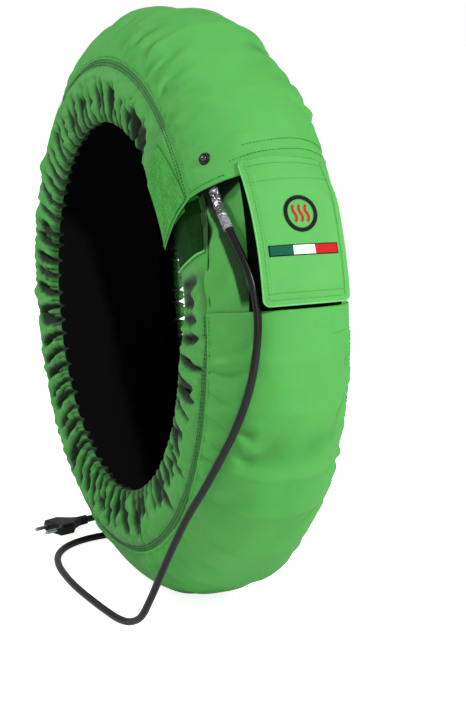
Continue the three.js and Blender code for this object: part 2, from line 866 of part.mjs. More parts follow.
const routeLength = route.getLength();
const sleeveEnd = sleeveStart + sleeveLength;
add(
  "cable_ferrule",
  tube(new Stretch(route, 0, ferruleLength), 4, ferruleDiameter / 2, 12),
  materials.crimp,
);
add(
  "cable_sleeve",
  tube(
    new Stretch(route, sleeveStart, sleeveEnd),
    7,
    sleeveDiameter / 2,
    12,
    sleeveDiameter / 2 - sleeveWall,
  ),
  materials.clear_tube,
);
const dropStart = ferruleLength + clearance;
add(
  "power_cord_drop",
  tube(
    new Stretch(route, dropStart, routeLength),
    Math.round((routeLength - dropStart) / cordStep),
    cordDiameter / 2,
    8,
  ),
  materials.cord_rubber,
);

// Leads from the ferrule to the heating wire, round the lamp and through the butt between the pads

const leadGap = THREE.MathUtils.radToDeg(clearance / crownRadius);
const firstBefore = wirePoint(wireStart - leadGap, 0);
const secondBefore = wirePoint(wireStart - leadGap, 1);
const buttMiddle = (padOverEnd + padUnderEnd) / 2;

function lead(start, bends, butt, wireEnd) {
  const path = [start, ...bends].map((place) => underFlap(...place));
  for (const [side, depth] of butt) path.push(underFlap(buttMiddle, side, depth));
  return mitredTube([...path, wireEnd], leadDiameter, 6);
}
add("live_lead", lead(liveLeadStart, liveLeadBends, liveLeadButt, firstBefore), materials.silicone);
add(
  "neutral_lead",
  lead(neutralLeadStart, neutralLeadBends, neutralLeadButt, secondBefore),
  materials.silicone,
);

// Spare cord, wound behind the ring and tied

const [coilX, coilY] = coilCentre;
const coilInner = coilMidRadius - cordDiameter;
const coilOuter = coilMidRadius + cordDiameter;
const coilHeight = 2 * cordDiameter;
const coilProfile = [
  [coilInner, coilLift + 2],
  [coilInner + 2, coilLift],
  [coilOuter - 2, coilLift],
  [coilOuter, coilLift + 2],
  [coilOuter, coilLift + coilHeight - 5],
  [coilOuter - 5, coilLift + coilHeight],
  [coilInner + 5, coilLift + coilHeight],
  [coilInner, coilLift + coilHeight - 5],
  [coilInner, coilLift + 2],
];
add(
  "power_cord_coil",
  lathe(coilProfile, 24).rotateX(Math.PI / 2).translate(coilX, coilY, 0),
  materials.cord_rubber,
);

const tieInner = [coilInner - clearance, coilOuter + clearance];
const tieShape = new THREE.Shape([
  new THREE.Vector2(tieInner[0] - tieThickness, coilLift - clearance - tieThickness),
  new THREE.Vector2(tieInner[1] + tieThickness, coilLift - clearance - tieThickness),
  new THREE.Vector2(tieInner[1] + tieThickness, coilLift + coilHeight + clearance + tieThickness),
  new THREE.Vector2(tieInner[0] - tieThickness, coilLift + coilHeight + clearance + tieThickness),
]);
tieShape.holes.push(
  new THREE.Path([
    new THREE.Vector2(tieInner[0] - 1, coilLift - clearance),
    new THREE.Vector2(tieInner[0] - 1, coilLift + coilHeight + clearance),
    new THREE.Vector2(tieInner[1], coilLift + coilHeight + clearance),
    new THREE.Vector2(tieInner[1], coilLift - clearance),
  ]),
);
add(
  "coil_tie",
  new THREE.ExtrudeGeometry(tieShape, { depth: tieWidth, bevelEnabled: false })
    .translate(0, 0, -tieWidth / 2)
    .rotateX(Math.PI / 2)
    .rotateZ(Math.PI / 2)
    .translate(coilX, coilY, 0),
  materials.hook_tape,
);

// Tail of the cord, from the coil to the plug

const plugHeight = plugDepth / 2;
const heading = new THREE.Vector3(plugHeading[0], plugHeading[1], 0).normalize();
const plugStart = new THREE.Vector3(plugRear[0], plugRear[1], plugHeight);
const tailEnd = plugStart.clone().addScaledVector(heading, -clearance);
const tail = new THREE.CatmullRomCurve3([...tailPoints, tailEnd], false, "centripetal");
add("power_cord_tail", tube(tail, 6, cordDiameter / 2, 8), materials.cord_rubber);

// Plug: ribbed relief, flared shoulders and a flat block, with two round pins

const upright = new THREE.Vector3(0, 0, 1);
const plugFrame = new THREE.Matrix4()
  .makeBasis(upright.clone().cross(heading), upright, heading)
  .setPosition(plugStart);

// Half width and half depth of the plug at shares of its length
const reliefRadius = plugReliefDiameter / 2;
const plugForm = [
  [0, reliefRadius - 0.8, reliefRadius - 0.8],
  [0.02, reliefRadius, reliefRadius],
  [0.07, reliefRadius, reliefRadius],
  [0.08, reliefRadius - 0.9, reliefRadius - 0.9],
  [0.11, reliefRadius - 0.9, reliefRadius - 0.9],
  [0.12, reliefRadius + 0.1, reliefRadius],
  [0.17, reliefRadius + 0.1, reliefRadius],
  [0.18, reliefRadius - 0.8, reliefRadius - 0.9],
  [0.21, reliefRadius - 0.7, reliefRadius - 0.9],
  [0.22, reliefRadius + 0.3, reliefRadius],
  [0.28, reliefRadius + 0.5, reliefRadius],
  [0.42, 8.5, 0.46 * plugDepth],
  [0.54, 12.5, plugDepth / 2],
  [0.63, plugWidth / 2 - 1, plugDepth / 2],
  [0.67, plugWidth / 2, plugDepth / 2],
  [0.96, plugWidth / 2 - 1.6, plugDepth / 2],
  [1, plugWidth / 2 - 3.2, plugDepth / 2 - 1.2],
];
function plugSection([share, halfWidth, halfDepth]) {
  const corners = [];
  const round = 0.94 * Math.min(halfWidth, halfDepth, THREE.MathUtils.lerp(reliefRadius, 3.5, share));
  for (const [sx, sy, start] of [[1, 1, 0], [-1, 1, 90], [-1, -1, 180], [1, -1, 270]]) {
    for (const step of [0, 45, 90]) {
      const turn = radians(start + step);
      const x = sx * (halfWidth - round) + round * Math.cos(turn);
      const y = sy * (halfDepth - round) + round * Math.sin(turn);
      corners.push(new THREE.Vector3(x, y, share * plugLength));
    }
  }
  return corners;
}
const plugSections = plugForm.map(plugSection);
const plugOutline = plugSections[0].map((p) => new THREE.Vector2(p.x, p.y));
add("plug_body", loft(plugSections, plugOutline).applyMatrix4(plugFrame), materials.black_plastic);

const pinProfile = [
  [0, plugLength + clearance],
  [pinDiameter / 2, plugLength + clearance],
  [pinDiameter / 2, plugLength + pinLength - 1.6],
  [0.6 * (pinDiameter / 2), plugLength + pinLength - 0.3],
  [0, plugLength + pinLength],
];
for (const [word, side] of [
  ["left", -1],
  ["right", 1],
]) {
  const pin = lathe(pinProfile, 10)
    .rotateX(Math.PI / 2)
    .translate((side * pinSpacing) / 2, 0, 0)
    .applyMatrix4(plugFrame);
  add(`plug_pin_${word}`, pin, materials.pin_nickel);
}

export default group;
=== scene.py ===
"""Tyre warmer for a motorcycle wheel: a green heated band closed into a ring, with gathered skirts.

Metres, +Z up, the ring's axis along Y. Angles round the ring start at +X and rise towards +Z.
"""
import math

import bmesh
import bpy
import numpy as np
from mathutils import Matrix, Vector


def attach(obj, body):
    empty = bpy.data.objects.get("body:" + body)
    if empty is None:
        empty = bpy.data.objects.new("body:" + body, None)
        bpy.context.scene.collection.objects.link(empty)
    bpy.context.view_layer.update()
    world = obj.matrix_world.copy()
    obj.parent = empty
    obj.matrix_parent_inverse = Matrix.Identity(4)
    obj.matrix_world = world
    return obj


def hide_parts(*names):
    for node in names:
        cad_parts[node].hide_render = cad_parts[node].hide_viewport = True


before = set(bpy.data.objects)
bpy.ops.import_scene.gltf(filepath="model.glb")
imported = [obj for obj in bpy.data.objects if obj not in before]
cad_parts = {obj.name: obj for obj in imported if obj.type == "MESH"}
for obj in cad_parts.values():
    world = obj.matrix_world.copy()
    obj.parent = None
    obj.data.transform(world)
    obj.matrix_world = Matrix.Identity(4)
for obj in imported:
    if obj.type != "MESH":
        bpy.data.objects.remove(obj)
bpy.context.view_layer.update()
scene = bpy.context.scene

# Ring and closure, as in the part's source
REST_HEIGHT = 0.316
CROWN_RADIUS = 0.324
SEAM_RADIUS = 0.2689
SEAM_HALF_WIDTH = 0.0781
CROWN_FULLNESS = 2.624
CROWN_EDGE = 0.898
HEM_RADIUS = 0.203
HEM_HALF_WIDTH = 0.0821
BELLY_RADIUS = 0.25
BELLY_HALF_WIDTH = 0.0815
FLAP_EDGE = 34
CROSS_SEAM = 9
PANEL_LAP = 5
PANEL_END = 47
POCKET_DEPTH = 0.011
SKIRT_LEAN = 5.5
SKIRT_UNDER_END = 420
SKIRT_TUCK = 0.0075
PAD_DEPTH = 0.0015
UNDER_PAD_DEPTH = 0.003
LINING_DEPTH = 0.0102
PAD_OVER_END = 51
PAD_UNDER_END = 409.5
FACET_SINK = 0.0034

# Camera

camera_data = bpy.data.cameras.new("camera")
camera = bpy.data.objects.new("camera", camera_data)
scene.collection.objects.link(camera)
camera_place = Vector((2.37578, -0.93125, 0.81549))
camera_right = Vector((0.38577, 0.92259, 0))
camera_up = Vector((-0.20035, 0.08377, 0.97614))
camera_back = Vector((0.90058, -0.37657, 0.21715))
camera_turn = Matrix((camera_right, camera_up, camera_back)).transposed().to_4x4()
camera.matrix_world = Matrix.Translation(camera_place) @ camera_turn
camera_data.sensor_width = 36
camera_data.lens = 116.7
camera_data.clip_start = 0.05
scene.camera = camera
scene.view_settings.view_transform = "Standard"


# Node trees

class Value:
    """A socket in a node tree, with arithmetic that adds Math nodes."""

    def __init__(self, tree, socket):
        self.tree = tree
        self.socket = socket

    def math(self, operation, *values):
        node = self.tree.nodes.new("ShaderNodeMath")
        node.operation = operation
        for entry, value in zip(node.inputs, values):
            connect(self.tree, entry, value)
        return Value(self.tree, node.outputs[0])

    def __add__(self, other):
        return self.math("ADD", self, other)

    __radd__ = __add__

    def __sub__(self, other):
        return self.math("SUBTRACT", self, other)

    def __rsub__(self, other):
        return self.math("SUBTRACT", other, self)

    def __mul__(self, other):
        return self.math("MULTIPLY", self, other)

    __rmul__ = __mul__

    def __truediv__(self, other):
        return self.math("DIVIDE", self, other)

    def clamped(self):
        return self.math("MINIMUM", self.math("MAXIMUM", self, 0.0), 1.0)


def connect(tree, entry, value):
    if isinstance(value, Value):
        tree.links.new(value.socket, entry)
    else:
        entry.default_value = value


class Tree:
    """Adds nodes to a shader or geometry tree."""

    def __init__(self, tree):
        self.tree = tree

    def node(self, kind, settings=None, values=None, output=0):
        """One node: its type, its settings by name, and its sockets' values or links by name or number."""
        node = self.tree.nodes.new(kind)
        for name, setting in (settings or {}).items():
            setattr(node, name, setting)
        for entry, value in (values or {}).items():
            connect(self.tree, node.inputs[entry], value)
        return Value(self.tree, node.outputs[output])


def srgb(red, green, blue):
    """A colour from its 0 to 255 values as seen on a screen."""
    def linear(value):
        value /= 255
        return value / 12.92 if value <= 0.04045 else ((value + 0.055) / 1.055) ** 2.4

    return (linear(red), linear(green), linear(blue), 1.0)


class Finish(Tree):
    """A material on one Principled shader."""

    def __init__(self, name, colour, roughness, **constants):
        self.material = bpy.data.materials.new(name)
        self.material.use_nodes = True
        super().__init__(self.material.node_tree)
        self.shader = self.tree.nodes["Principled BSDF"]
        self.colour = colour
        self.set("Base Color", colour)
        self.set("Roughness", roughness)
        for socket, value in constants.items():
            self.set(socket.replace("_", " "), value)

    def set(self, socket, value):
        connect(self.tree, self.shader.inputs[socket], value)

    def place(self, kind="Object"):
        return self.node("ShaderNodeTexCoord", output=kind)

    def noise(self, place, scale, detail=3.0, rough=0.55):
        values = {"Vector": place, "Scale": scale, "Detail": detail, "Roughness": rough}
        return self.node("ShaderNodeTexNoise", values=values)

    def math_between(self, value, low, high, soft):
        """1 where value is between low and high, with soft ends."""
        rise = ((value - low) / soft + 0.5).clamped()
        fall = ((high - value) / soft + 0.5).clamped()
        return rise * fall

    def tint(self, factor, first, second):
        values = {0: factor, 6: first, 7: second}
        return self.node("ShaderNodeMix", {"data_type": "RGBA"}, values, output=2)

    def bump(self, height, distance, strength=1.0):
        values = {"Height": height, "Distance": distance, "Strength": strength}
        normal = self.node("ShaderNodeBump", values=values)
        self.set("Normal", normal)


def shade(colour, factor):
    return (colour[0] * factor, colour[1] * factor, colour[2] * factor, 1.0)


def woven(name, colour, roughness, thread=0.0006, grain=0.00012, mottling=0.16, **constants):
    """Plain woven cloth on its UV map, which is in metres."""
    cloth = Finish(name, colour, roughness, **constants)
    flat = cloth.place("UV")
    turns = 2 * math.pi / (2 * thread)
    split = cloth.node("ShaderNodeSeparateXYZ", values={"Vector": flat})
    across = Value(cloth.tree, split.socket.node.outputs["X"]) * turns
    along = Value(cloth.tree, split.socket.node.outputs["Y"]) * turns
    weave = across.math("SINE", across) * along.math("SINE", along)
    soil = cloth.noise(cloth.place(), 9.0, 4.0)
    fleck = cloth.noise(flat, 900.0, 2.0)
    tone = (0.72 * soil + 0.28 * fleck).clamped()
    pale, deep = shade(colour, 1 + mottling), shade(colour, 1 - mottling)
    # The "shade" attribute is painted shade: it darkens the colour towards near black in folds, creases and
    # recesses, and roughens it there.
    painted_shade = cloth.node("ShaderNodeAttribute", {"attribute_name": "shade"}, output="Fac")
    cloth.set("Base Color", cloth.tint(painted_shade, cloth.tint(tone, deep, pale), shade(colour, 0.035)))
    cloth.set("Roughness", roughness - 0.08 + 0.16 * soil + 0.3 * painted_shade)
    pucker = cloth.noise(cloth.place(), 70.0, 3.0)
    cloth.bump(weave * grain + pucker * 0.0009, 1.0, 0.8)
    return cloth.material


GREEN = srgb(78, 168, 74)
cover_cloth = woven("green cover nylon", GREEN, 0.55, Specular_IOR_Level=0.3)
skirt_cloth = woven(
    "green skirt nylon", srgb(72, 164, 67), 0.38, thread=0.0005, mottling=0.22, Specular_IOR_Level=0.4
)
tab_cloth = woven("green tab nylon", srgb(84, 171, 80), 0.55, mottling=0.08, Specular_IOR_Level=0.3)
lining_cloth = woven(
    "black lining cloth", srgb(5, 5, 6), 0.9, thread=0.0009, grain=0.0002, Specular_IOR_Level=0.1
)


def hooked(name, colour):
    """Hook and loop tape: a short dense pile."""
    tape = Finish(name, colour, 0.9, Specular_IOR_Level=0.1)
    pile = tape.noise(tape.place(), 620.0, 2.0)
    patch = tape.noise(tape.place(), 60.0, 3.0)
    tone = (2.2 * (0.6 * pile + 0.4 * patch) - 0.6).clamped()
    tape.set("Base Color", tape.tint(tone, shade(colour, 0.35), shade(colour, 1.35)))
    tape.bump(pile * 0.0006 + patch * 0.0008, 1.0, 0.9)
    return tape.material


green_tape = hooked("green hook tape", srgb(78, 170, 74))
loop_tape = hooked("green loop tape", srgb(12, 58, 14))
black_tape = hooked("black hook tape", srgb(22, 22, 24))


def grained(name, colour, roughness, size, depth, variation=0.12, **constants):
    """A solid material with a fine grain and slight changes of tone and gloss."""
    solid = Finish(name, colour, roughness, **constants)
    fine = solid.noise(solid.place(), 1 / size, 3.0)
    broad = solid.noise(solid.place(), 35.0, 3.0)
    solid.set("Base Color", solid.tint(broad, shade(colour, 1 - variation), shade(colour, 1 + variation)))
    solid.set("Roughness", roughness - 0.06 + 0.12 * fine)
    solid.bump(fine * depth, 1.0, 0.8)
    return solid.material


black_plastic = grained(
    "moulded black plastic", srgb(11, 11, 12), 0.42, 0.0007, 0.00012, Specular_IOR_Level=0.3
)
cord_rubber = grained("black cord rubber", srgb(9, 9, 10), 0.3, 0.004, 0.0002, Specular_IOR_Level=0.35)
thread_dark = grained("dark green thread", srgb(20, 78, 24), 0.7, 0.0004, 0.0001)
thread_green = grained("green thread", srgb(52, 150, 54), 0.7, 0.0004, 0.0001)
nickel = grained("nickel pin", srgb(205, 205, 208), 0.22, 0.0006, 0.00002, 0.05, Metallic=1.0)
crimp_metal = grained("crimped foil", srgb(150, 150, 156), 0.3, 0.002, 0.0006, 0.4, Metallic=0.9)
felt = grained("needled felt", srgb(198, 194, 182), 0.95, 0.0012, 0.0004)
glass_cloth = grained("glass cloth", srgb(64, 62, 54), 0.8, 0.0008, 0.0002)
silicone = grained("red silicone", srgb(168, 50, 30), 0.5, 0.0015, 0.0001)
elastic = grained("woven elastic", srgb(226, 224, 216), 0.85, 0.0006, 0.0003)
white_print = grained("white print", srgb(232, 234, 230), 0.5, 0.0005, 0.00005, 0.03)
red_print = grained("red print", srgb(182, 20, 24), 0.6, 0.0005, 0.00005, 0.06, Specular_IOR_Level=0.1)
green_print = grained(
    "deep green print", srgb(4, 84, 62), 0.6, 0.0005, 0.00005, 0.06, Specular_IOR_Level=0.1
)
black_print = grained("black print", srgb(6, 8, 6), 0.6, 0.0005, 0.00005, 0.1, Specular_IOR_Level=0.1)
lens_glass = grained("smoked lens", srgb(20, 20, 23), 0.07, 0.003, 0.00002, 0.04, Coat_Weight=1.0)
# Paler than the cloth: the patch stitches' thread, and on the tab's piping and the pocket's lower edge a
# painted highlight along the fold.
pale_thread_and_edge_highlight = grained("pale green thread and painted edge highlight", srgb(102, 190, 98), 0.5, 0.0006, 0.0001, 0.08)
# Near black: painted shadow under the tab's edges, on the panel's loop patch.
under_tab_shadow_black = grained("black loop patch painted as shadow", srgb(3, 6, 3), 0.95, 0.0008, 0.0003, Specular_IOR_Level=0.05)


def crinkled(name):
    """A clear sleeve over bright foil, crushed into small facets, with a dark band near its end. The foil's
    colour is painted in near-black and near-white patches as its highlights and shade.
    """
    sleeve = Finish(name, srgb(150, 152, 158), 0.2, Coat_Weight=0.8, Coat_Roughness=0.08)
    facets = sleeve.node(
        "ShaderNodeTexVoronoi", {"feature": "F1"}, {"Vector": sleeve.place(), "Scale": 260.0}, output=0
    )
    patches = sleeve.noise(sleeve.place(), 150.0, 4.0, 0.7)
    run = sleeve.node("ShaderNodeSeparateXYZ", values={"Vector": sleeve.place("UV")})
    far = Value(sleeve.tree, run.socket.node.outputs["X"])
    band = sleeve.math_between(far, 0.036, 0.045, 0.0012)
    end = sleeve.math_between(far, 0.0455, 0.2, 0.001)
    # Painted highlights and shade of the crushed foil: its colour swings from near black to near white in
    # patches.
    bright = ((patches - 0.36) * 3.2).clamped()
    foil = sleeve.tint(bright, srgb(34, 34, 40), srgb(216, 216, 222))
    shaded = sleeve.tint(0.85 * band, foil, srgb(30, 30, 33))
    clear = sleeve.tint(0.75 * end, shaded, srgb(120, 122, 126))
    sleeve.set("Base Color", clear)
    sleeve.set("Metallic", 0.75 * (1 - band) * (1 - end))
    sleeve.bump(0.0016 * facets + 0.0012 * patches, 1.0, 0.9)
    return sleeve.material


sleeve_foil = crinkled("crinkled clear sleeve")


# Shape helpers

def polar(angle, y, radius):
    """Points of the ring from angles in degrees, as an array of shape (..., 3)."""
    turn = np.radians(angle)
    angle, y, radius = np.broadcast_arrays(turn, y, radius)
    return np.stack([radius * np.cos(angle), y, REST_HEIGHT + radius * np.sin(angle)], axis=-1)


def crown_radius(t):
    return SEAM_RADIUS + (CROWN_RADIUS - SEAM_RADIUS) * (1 - np.abs(t) ** CROWN_FULLNESS) ** CROWN_EDGE


def crown_point(t, depth):
    """(y, radius) of the crown's section, sunk by depth along its own normal."""
    m = np.minimum(np.abs(t), 0.985)
    rise = (CROWN_RADIUS - SEAM_RADIUS) * CROWN_EDGE * CROWN_FULLNESS / SEAM_HALF_WIDTH
    steep = m ** (CROWN_FULLNESS - 1) * (1 - m**CROWN_FULLNESS) ** (CROWN_EDGE - 1)
    slope = -np.sign(t) * rise * steep
    unit = 1 / np.hypot(1, slope)
    return SEAM_HALF_WIDTH * t + slope * unit * depth, crown_radius(t) - unit * depth


def flat_spot(angle, t):
    down = np.cos(np.radians(angle + 90))
    push = crown_radius(t) - REST_HEIGHT / np.maximum(down, 0.5)
    return np.where(down > 0.5, np.maximum(0, push), 0)


def band_surface(angle, t, depth):
    y, radius = crown_point(t, depth)
    return polar(angle, y, radius - flat_spot(angle, t))


def smooth(value, low, high):
    share = np.clip((value - low) / (high - low), 0, 1)
    return share * share * (3 - 2 * share)


def pocket(angle, t):
    """Depth of the pocket under the flap's near side."""
    sink = smooth(angle, CROSS_SEAM + PANEL_LAP, FLAP_EDGE)
    return POCKET_DEPTH * sink * smooth(-t, 0.42, 0.7)


def new_object(name, data):
    """An object in the scene for a mesh or a light."""
    piece = bpy.data.objects.new(name, data)
    scene.collection.objects.link(piece)
    return piece


def run_along(points):
    """Length from the first of some points to each one."""
    return np.concatenate([[0], np.cumsum(np.linalg.norm(np.diff(points, axis=0), axis=1))])


def lay_flat(mesh, places):
    """Writes the UV map: each point's place on the flat piece, in metres."""
    corners = np.empty(len(mesh.loops), dtype=np.int32)
    mesh.loops.foreach_get("vertex_index", corners)
    mesh.uv_layers.new(name="flat").data.foreach_set("uv", places.reshape(-1, 2)[corners].ravel())


def ring_faces(rings, sides):
    """Four-sided faces between rings of points."""
    faces = []
    for s in range(rings - 1):
        for k in range(sides):
            n = (k + 1) % sides
            faces.append((s * sides + k, s * sides + n, (s + 1) * sides + n, (s + 1) * sides + k))
    return faces


def grid_faces(columns, rows):
    """Four-sided faces between the points of a grid, column by column."""
    return [
        (c * rows + r, (c + 1) * rows + r, (c + 1) * rows + r + 1, c * rows + r + 1)
        for c in range(columns - 1)
        for r in range(rows - 1)
    ]


def grid_mesh(name, points, material, uv=None, inner=None, thickness=0.0, dark=None):
    """A sheet through a grid of points. uv is in metres, inner its back's material, dark its painted shade.
    """
    faces = grid_faces(*points.shape[:2])
    mesh = bpy.data.meshes.new(name)
    mesh.from_pydata(points.reshape(-1, 3).tolist(), [], faces)
    mesh.polygons.foreach_set("use_smooth", [True] * len(faces))
    if uv is not None:
        lay_flat(mesh, uv)
    if dark is not None:
        mesh.attributes.new("shade", "FLOAT", "POINT").data.foreach_set("value", np.ravel(dark))
    mesh.materials.append(material)
    if inner is not None:
        mesh.materials.append(inner)
    piece = new_object(name, mesh)
    if thickness:
        solidify = piece.modifiers.new("thickness", "SOLIDIFY")
        solidify.thickness = thickness
        solidify.offset = -1
        solidify.use_rim = True
        if inner is not None:
            solidify.material_offset = 1
            solidify.material_offset_rim = 1
    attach(piece, "root")
    return piece


VOTERS = 400


def flip_to(piece, outward):
    """Turns a sheet's faces so that they look the way outward(middle) points."""
    mesh = piece.data
    every = max(1, len(mesh.polygons) // VOTERS)
    vote = sum(face.normal.dot(Vector(outward(face.center))) for face in list(mesh.polygons)[::every])
    if vote < 0:
        mesh.flip_normals()


def off_axis(place):
    """The way out from the ring's axis."""
    return place.x, 0, place.z - REST_HEIGHT


def close_up(piece):
    """Merges doubled points and turns the faces outwards."""
    body = bmesh.new()
    body.from_mesh(piece.data)
    bmesh.ops.remove_doubles(body, verts=body.verts, dist=1e-6)
    bmesh.ops.recalc_face_normals(body, faces=body.faces)
    body.to_mesh(piece.data)
    body.free()


def tube_mesh(name, path, radius, sides, material):
    """A round tube along points. radius may change along it."""
    path = np.asarray(path, dtype=float)
    radius = np.broadcast_to(radius, (len(path),))
    heading = np.gradient(path, axis=0)
    heading /= np.linalg.norm(heading, axis=1, keepdims=True)
    across = np.cross(heading[0], (0.0, 0.0, 1.0))
    if np.linalg.norm(across) < 0.1:
        across = np.cross(heading[0], (0.0, 1.0, 0.0))
    rings = []
    for point, ahead, size in zip(path, heading, radius):
        across = across - ahead * across.dot(ahead)
        across /= np.linalg.norm(across)
        up = np.cross(ahead, across)
        turn = np.linspace(0, 2 * np.pi, sides, endpoint=False)[:, None]
        rings.append(point + size * (np.cos(turn) * across + np.sin(turn) * up))
    points = np.concatenate(rings)
    faces = ring_faces(len(path), sides)
    last = (len(path) - 1) * sides
    faces.append(tuple(reversed(range(sides))))
    faces.append(tuple(last + k for k in range(sides)))
    mesh = bpy.data.meshes.new(name)
    mesh.from_pydata(points.tolist(), [], faces)
    mesh.polygons.foreach_set("use_smooth", [len(face) == 4 for face in faces])
    around = np.arange(sides) / sides * 2 * np.pi * radius.max()
    run = np.repeat(run_along(path), sides)
    lay_flat(mesh, np.stack([run, np.tile(around, len(path))], -1))
    mesh.materials.append(material)
    piece = new_object(name, mesh)
    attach(piece, "root")
    return piece


def route_through(points, spacing):
    """Points at even spacing on a centripetal curve through the given ones."""
    points = [np.array(p, dtype=float) for p in points]
    points = [2 * points[0] - points[1], *points, 2 * points[-1] - points[-2]]
    fine = []
    for p0, p1, p2, p3 in zip(points, points[1:], points[2:], points[3:]):
        d0, d1, d2 = (max(np.linalg.norm(b - a) ** 0.5, 1e-6) for a, b in ((p0, p1), (p1, p2), (p2, p3)))
        m1 = ((p1 - p0) / d0 - (p2 - p0) / (d0 + d1) + (p2 - p1) / d1) * d1
        m2 = ((p2 - p1) / d1 - (p3 - p1) / (d1 + d2) + (p3 - p2) / d2) * d1
        for s in np.linspace(0, 1, 24, endpoint=False):
            c2 = -3 * p1 + 3 * p2 - 2 * m1 - m2
            c3 = 2 * p1 - 2 * p2 + m1 + m2
            fine.append(p1 + s * m1 + s * s * c2 + s**3 * c3)
    fine.append(points[-2])
    fine = np.array(fine)
    run = run_along(fine)
    count = int(round(run[-1] / spacing)) + 1
    even = np.linspace(0, run[-1], count)
    return np.stack([np.interp(even, run, fine[:, k]) for k in range(3)], axis=1), run[-1]


# Stitches: small thread beads along a line, by Geometry Nodes

def stitch_nodes():
    group = bpy.data.node_groups.new("stitches", "GeometryNodeTree")
    inputs = {}
    for name, kind, value in (
        ("Geometry", "NodeSocketGeometry", None),
        ("Spacing", "NodeSocketFloat", 0.0042),
        ("Length", "NodeSocketFloat", 0.003),
        ("Thread", "NodeSocketFloat", 0.0005),
        ("Seed", "NodeSocketInt", 1),
        ("Material", "NodeSocketMaterial", None),
    ):
        entry = group.interface.new_socket(name, in_out="INPUT", socket_type=kind)
        if value is not None:
            entry.default_value = value
        inputs[name] = entry.identifier
    group.interface.new_socket("Geometry", in_out="OUTPUT", socket_type="NodeSocketGeometry")
    tree = Tree(group)
    start = group.nodes.new("NodeGroupInput")
    given = {entry.name: Value(group, entry) for entry in start.outputs if entry.name}
    curve = tree.node("GeometryNodeMeshToCurve", values={"Mesh": given["Geometry"]})
    places = tree.node(
        "GeometryNodeCurveToPoints", {"mode": "LENGTH"}, {"Curve": curve, "Length": given["Spacing"]}
    )
    turn = Value(group, places.socket.node.outputs["Rotation"])
    bead = tree.node("GeometryNodeMeshUVSphere", values={"Segments": 6, "Rings": 4, "Radius": 1.0})
    uneven = tree.node(
        "FunctionNodeRandomValue", {"data_type": "FLOAT"}, {2: 0.8, 3: 1.1, "Seed": given["Seed"]}, output=1
    )
    thick = given["Thread"] * uneven
    size = tree.node(
        "ShaderNodeCombineXYZ", values={"X": thick, "Y": thick, "Z": given["Length"] * 0.5 * uneven}
    )
    beads = tree.node(
        "GeometryNodeInstanceOnPoints",
        values={"Points": places, "Instance": bead, "Rotation": turn, "Scale": size},
    )
    real = tree.node("GeometryNodeRealizeInstances", values={"Geometry": beads})
    painted = tree.node("GeometryNodeSetMaterial", values={"Geometry": real, "Material": given["Material"]})
    end = group.nodes.new("NodeGroupOutput")
    connect(group, end.inputs["Geometry"], painted)
    return group, inputs


STITCHES, STITCH_INPUTS = stitch_nodes()


def stitched(name, lines, material, spacing=0.0042, length=0.003, thread=0.0005, seed=1):
    """Rows of stitches along lines of points."""
    points, edges = [], []
    for line in lines:
        first = len(points)
        points += [tuple(p) for p in line]
        edges += [(k, k + 1) for k in range(first, len(points) - 1)]
    mesh = bpy.data.meshes.new(name)
    mesh.from_pydata(points, edges, [])
    piece = new_object(name, mesh)
    rows = piece.modifiers.new("rows", "NODES")
    rows.node_group = STITCHES
    given = {"Spacing": spacing, "Length": length, "Thread": thread, "Seed": seed, "Material": material}
    for word, value in given.items():
        rows[STITCH_INPUTS[word]] = value
    bpy.context.view_layer.update()
    settled = piece.evaluated_get(bpy.context.evaluated_depsgraph_get())
    piece.data = bpy.data.meshes.new_from_object(settled)
    piece.data.name = name
    piece.modifiers.remove(rows)
    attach(piece, "root")
    return piece


# Power cord: out under the flap, down to the floor, behind the ring into its coil, and to the plug

CORD_DIAMETER = 0.008
COIL_CENTRE = (-0.215, 0.062)


def under_flap(angle, side, depth):
    t = side / SEAM_HALF_WIDTH
    return band_surface(np.array(angle), np.array(t), depth)


exit_points = [
    under_flap(37.3, -0.065, 0.0069),
    under_flap(34, -0.0645, 0.0069),
    under_flap(31, -0.063, 0.005),
    under_flap(27.5, -0.06, 0.002),
    under_flap(23.9, -0.056, 0),
]
hang_points = [
    (0.306, -0.0465, 0.396), (0.316, -0.044, 0.362), (0.319, -0.0455, 0.3385),
    (0.318, -0.049, 0.308), (0.312, -0.054, 0.2775), (0.3, -0.062, 0.243),
    (0.285, -0.071, 0.2115), (0.266, -0.081, 0.177), (0.245, -0.091, 0.143),
    (0.226, -0.099, 0.108), (0.209, -0.106, 0.074), (0.194, -0.112, 0.044),
    (0.178, -0.117, 0.02), (0.158, -0.121, 0.009), (0.136, -0.125, 0.0052),
    (0.1, -0.128, 0.0042), (0.06, -0.13, 0.0042), (0.015, -0.131, 0.0042),
    (-0.03, -0.129, 0.0042), (-0.075, -0.123, 0.0042), (-0.112, -0.111, 0.0042),
    (-0.141, -0.09, 0.0042), (-0.159, -0.062, 0.0042), (-0.167, -0.028, 0.0042),
    (-0.167, 0.005, 0.0042), (-0.167, 0.0336, 0.0046),
]


def coil_point(turn, radius, height):
    """A point of the coil, turn in degrees from +X."""
    angle = math.radians(turn)
    return (
        COIL_CENTRE[0] + radius * math.cos(angle),
        COIL_CENTRE[1] + radius * math.sin(angle),
        height,
    )


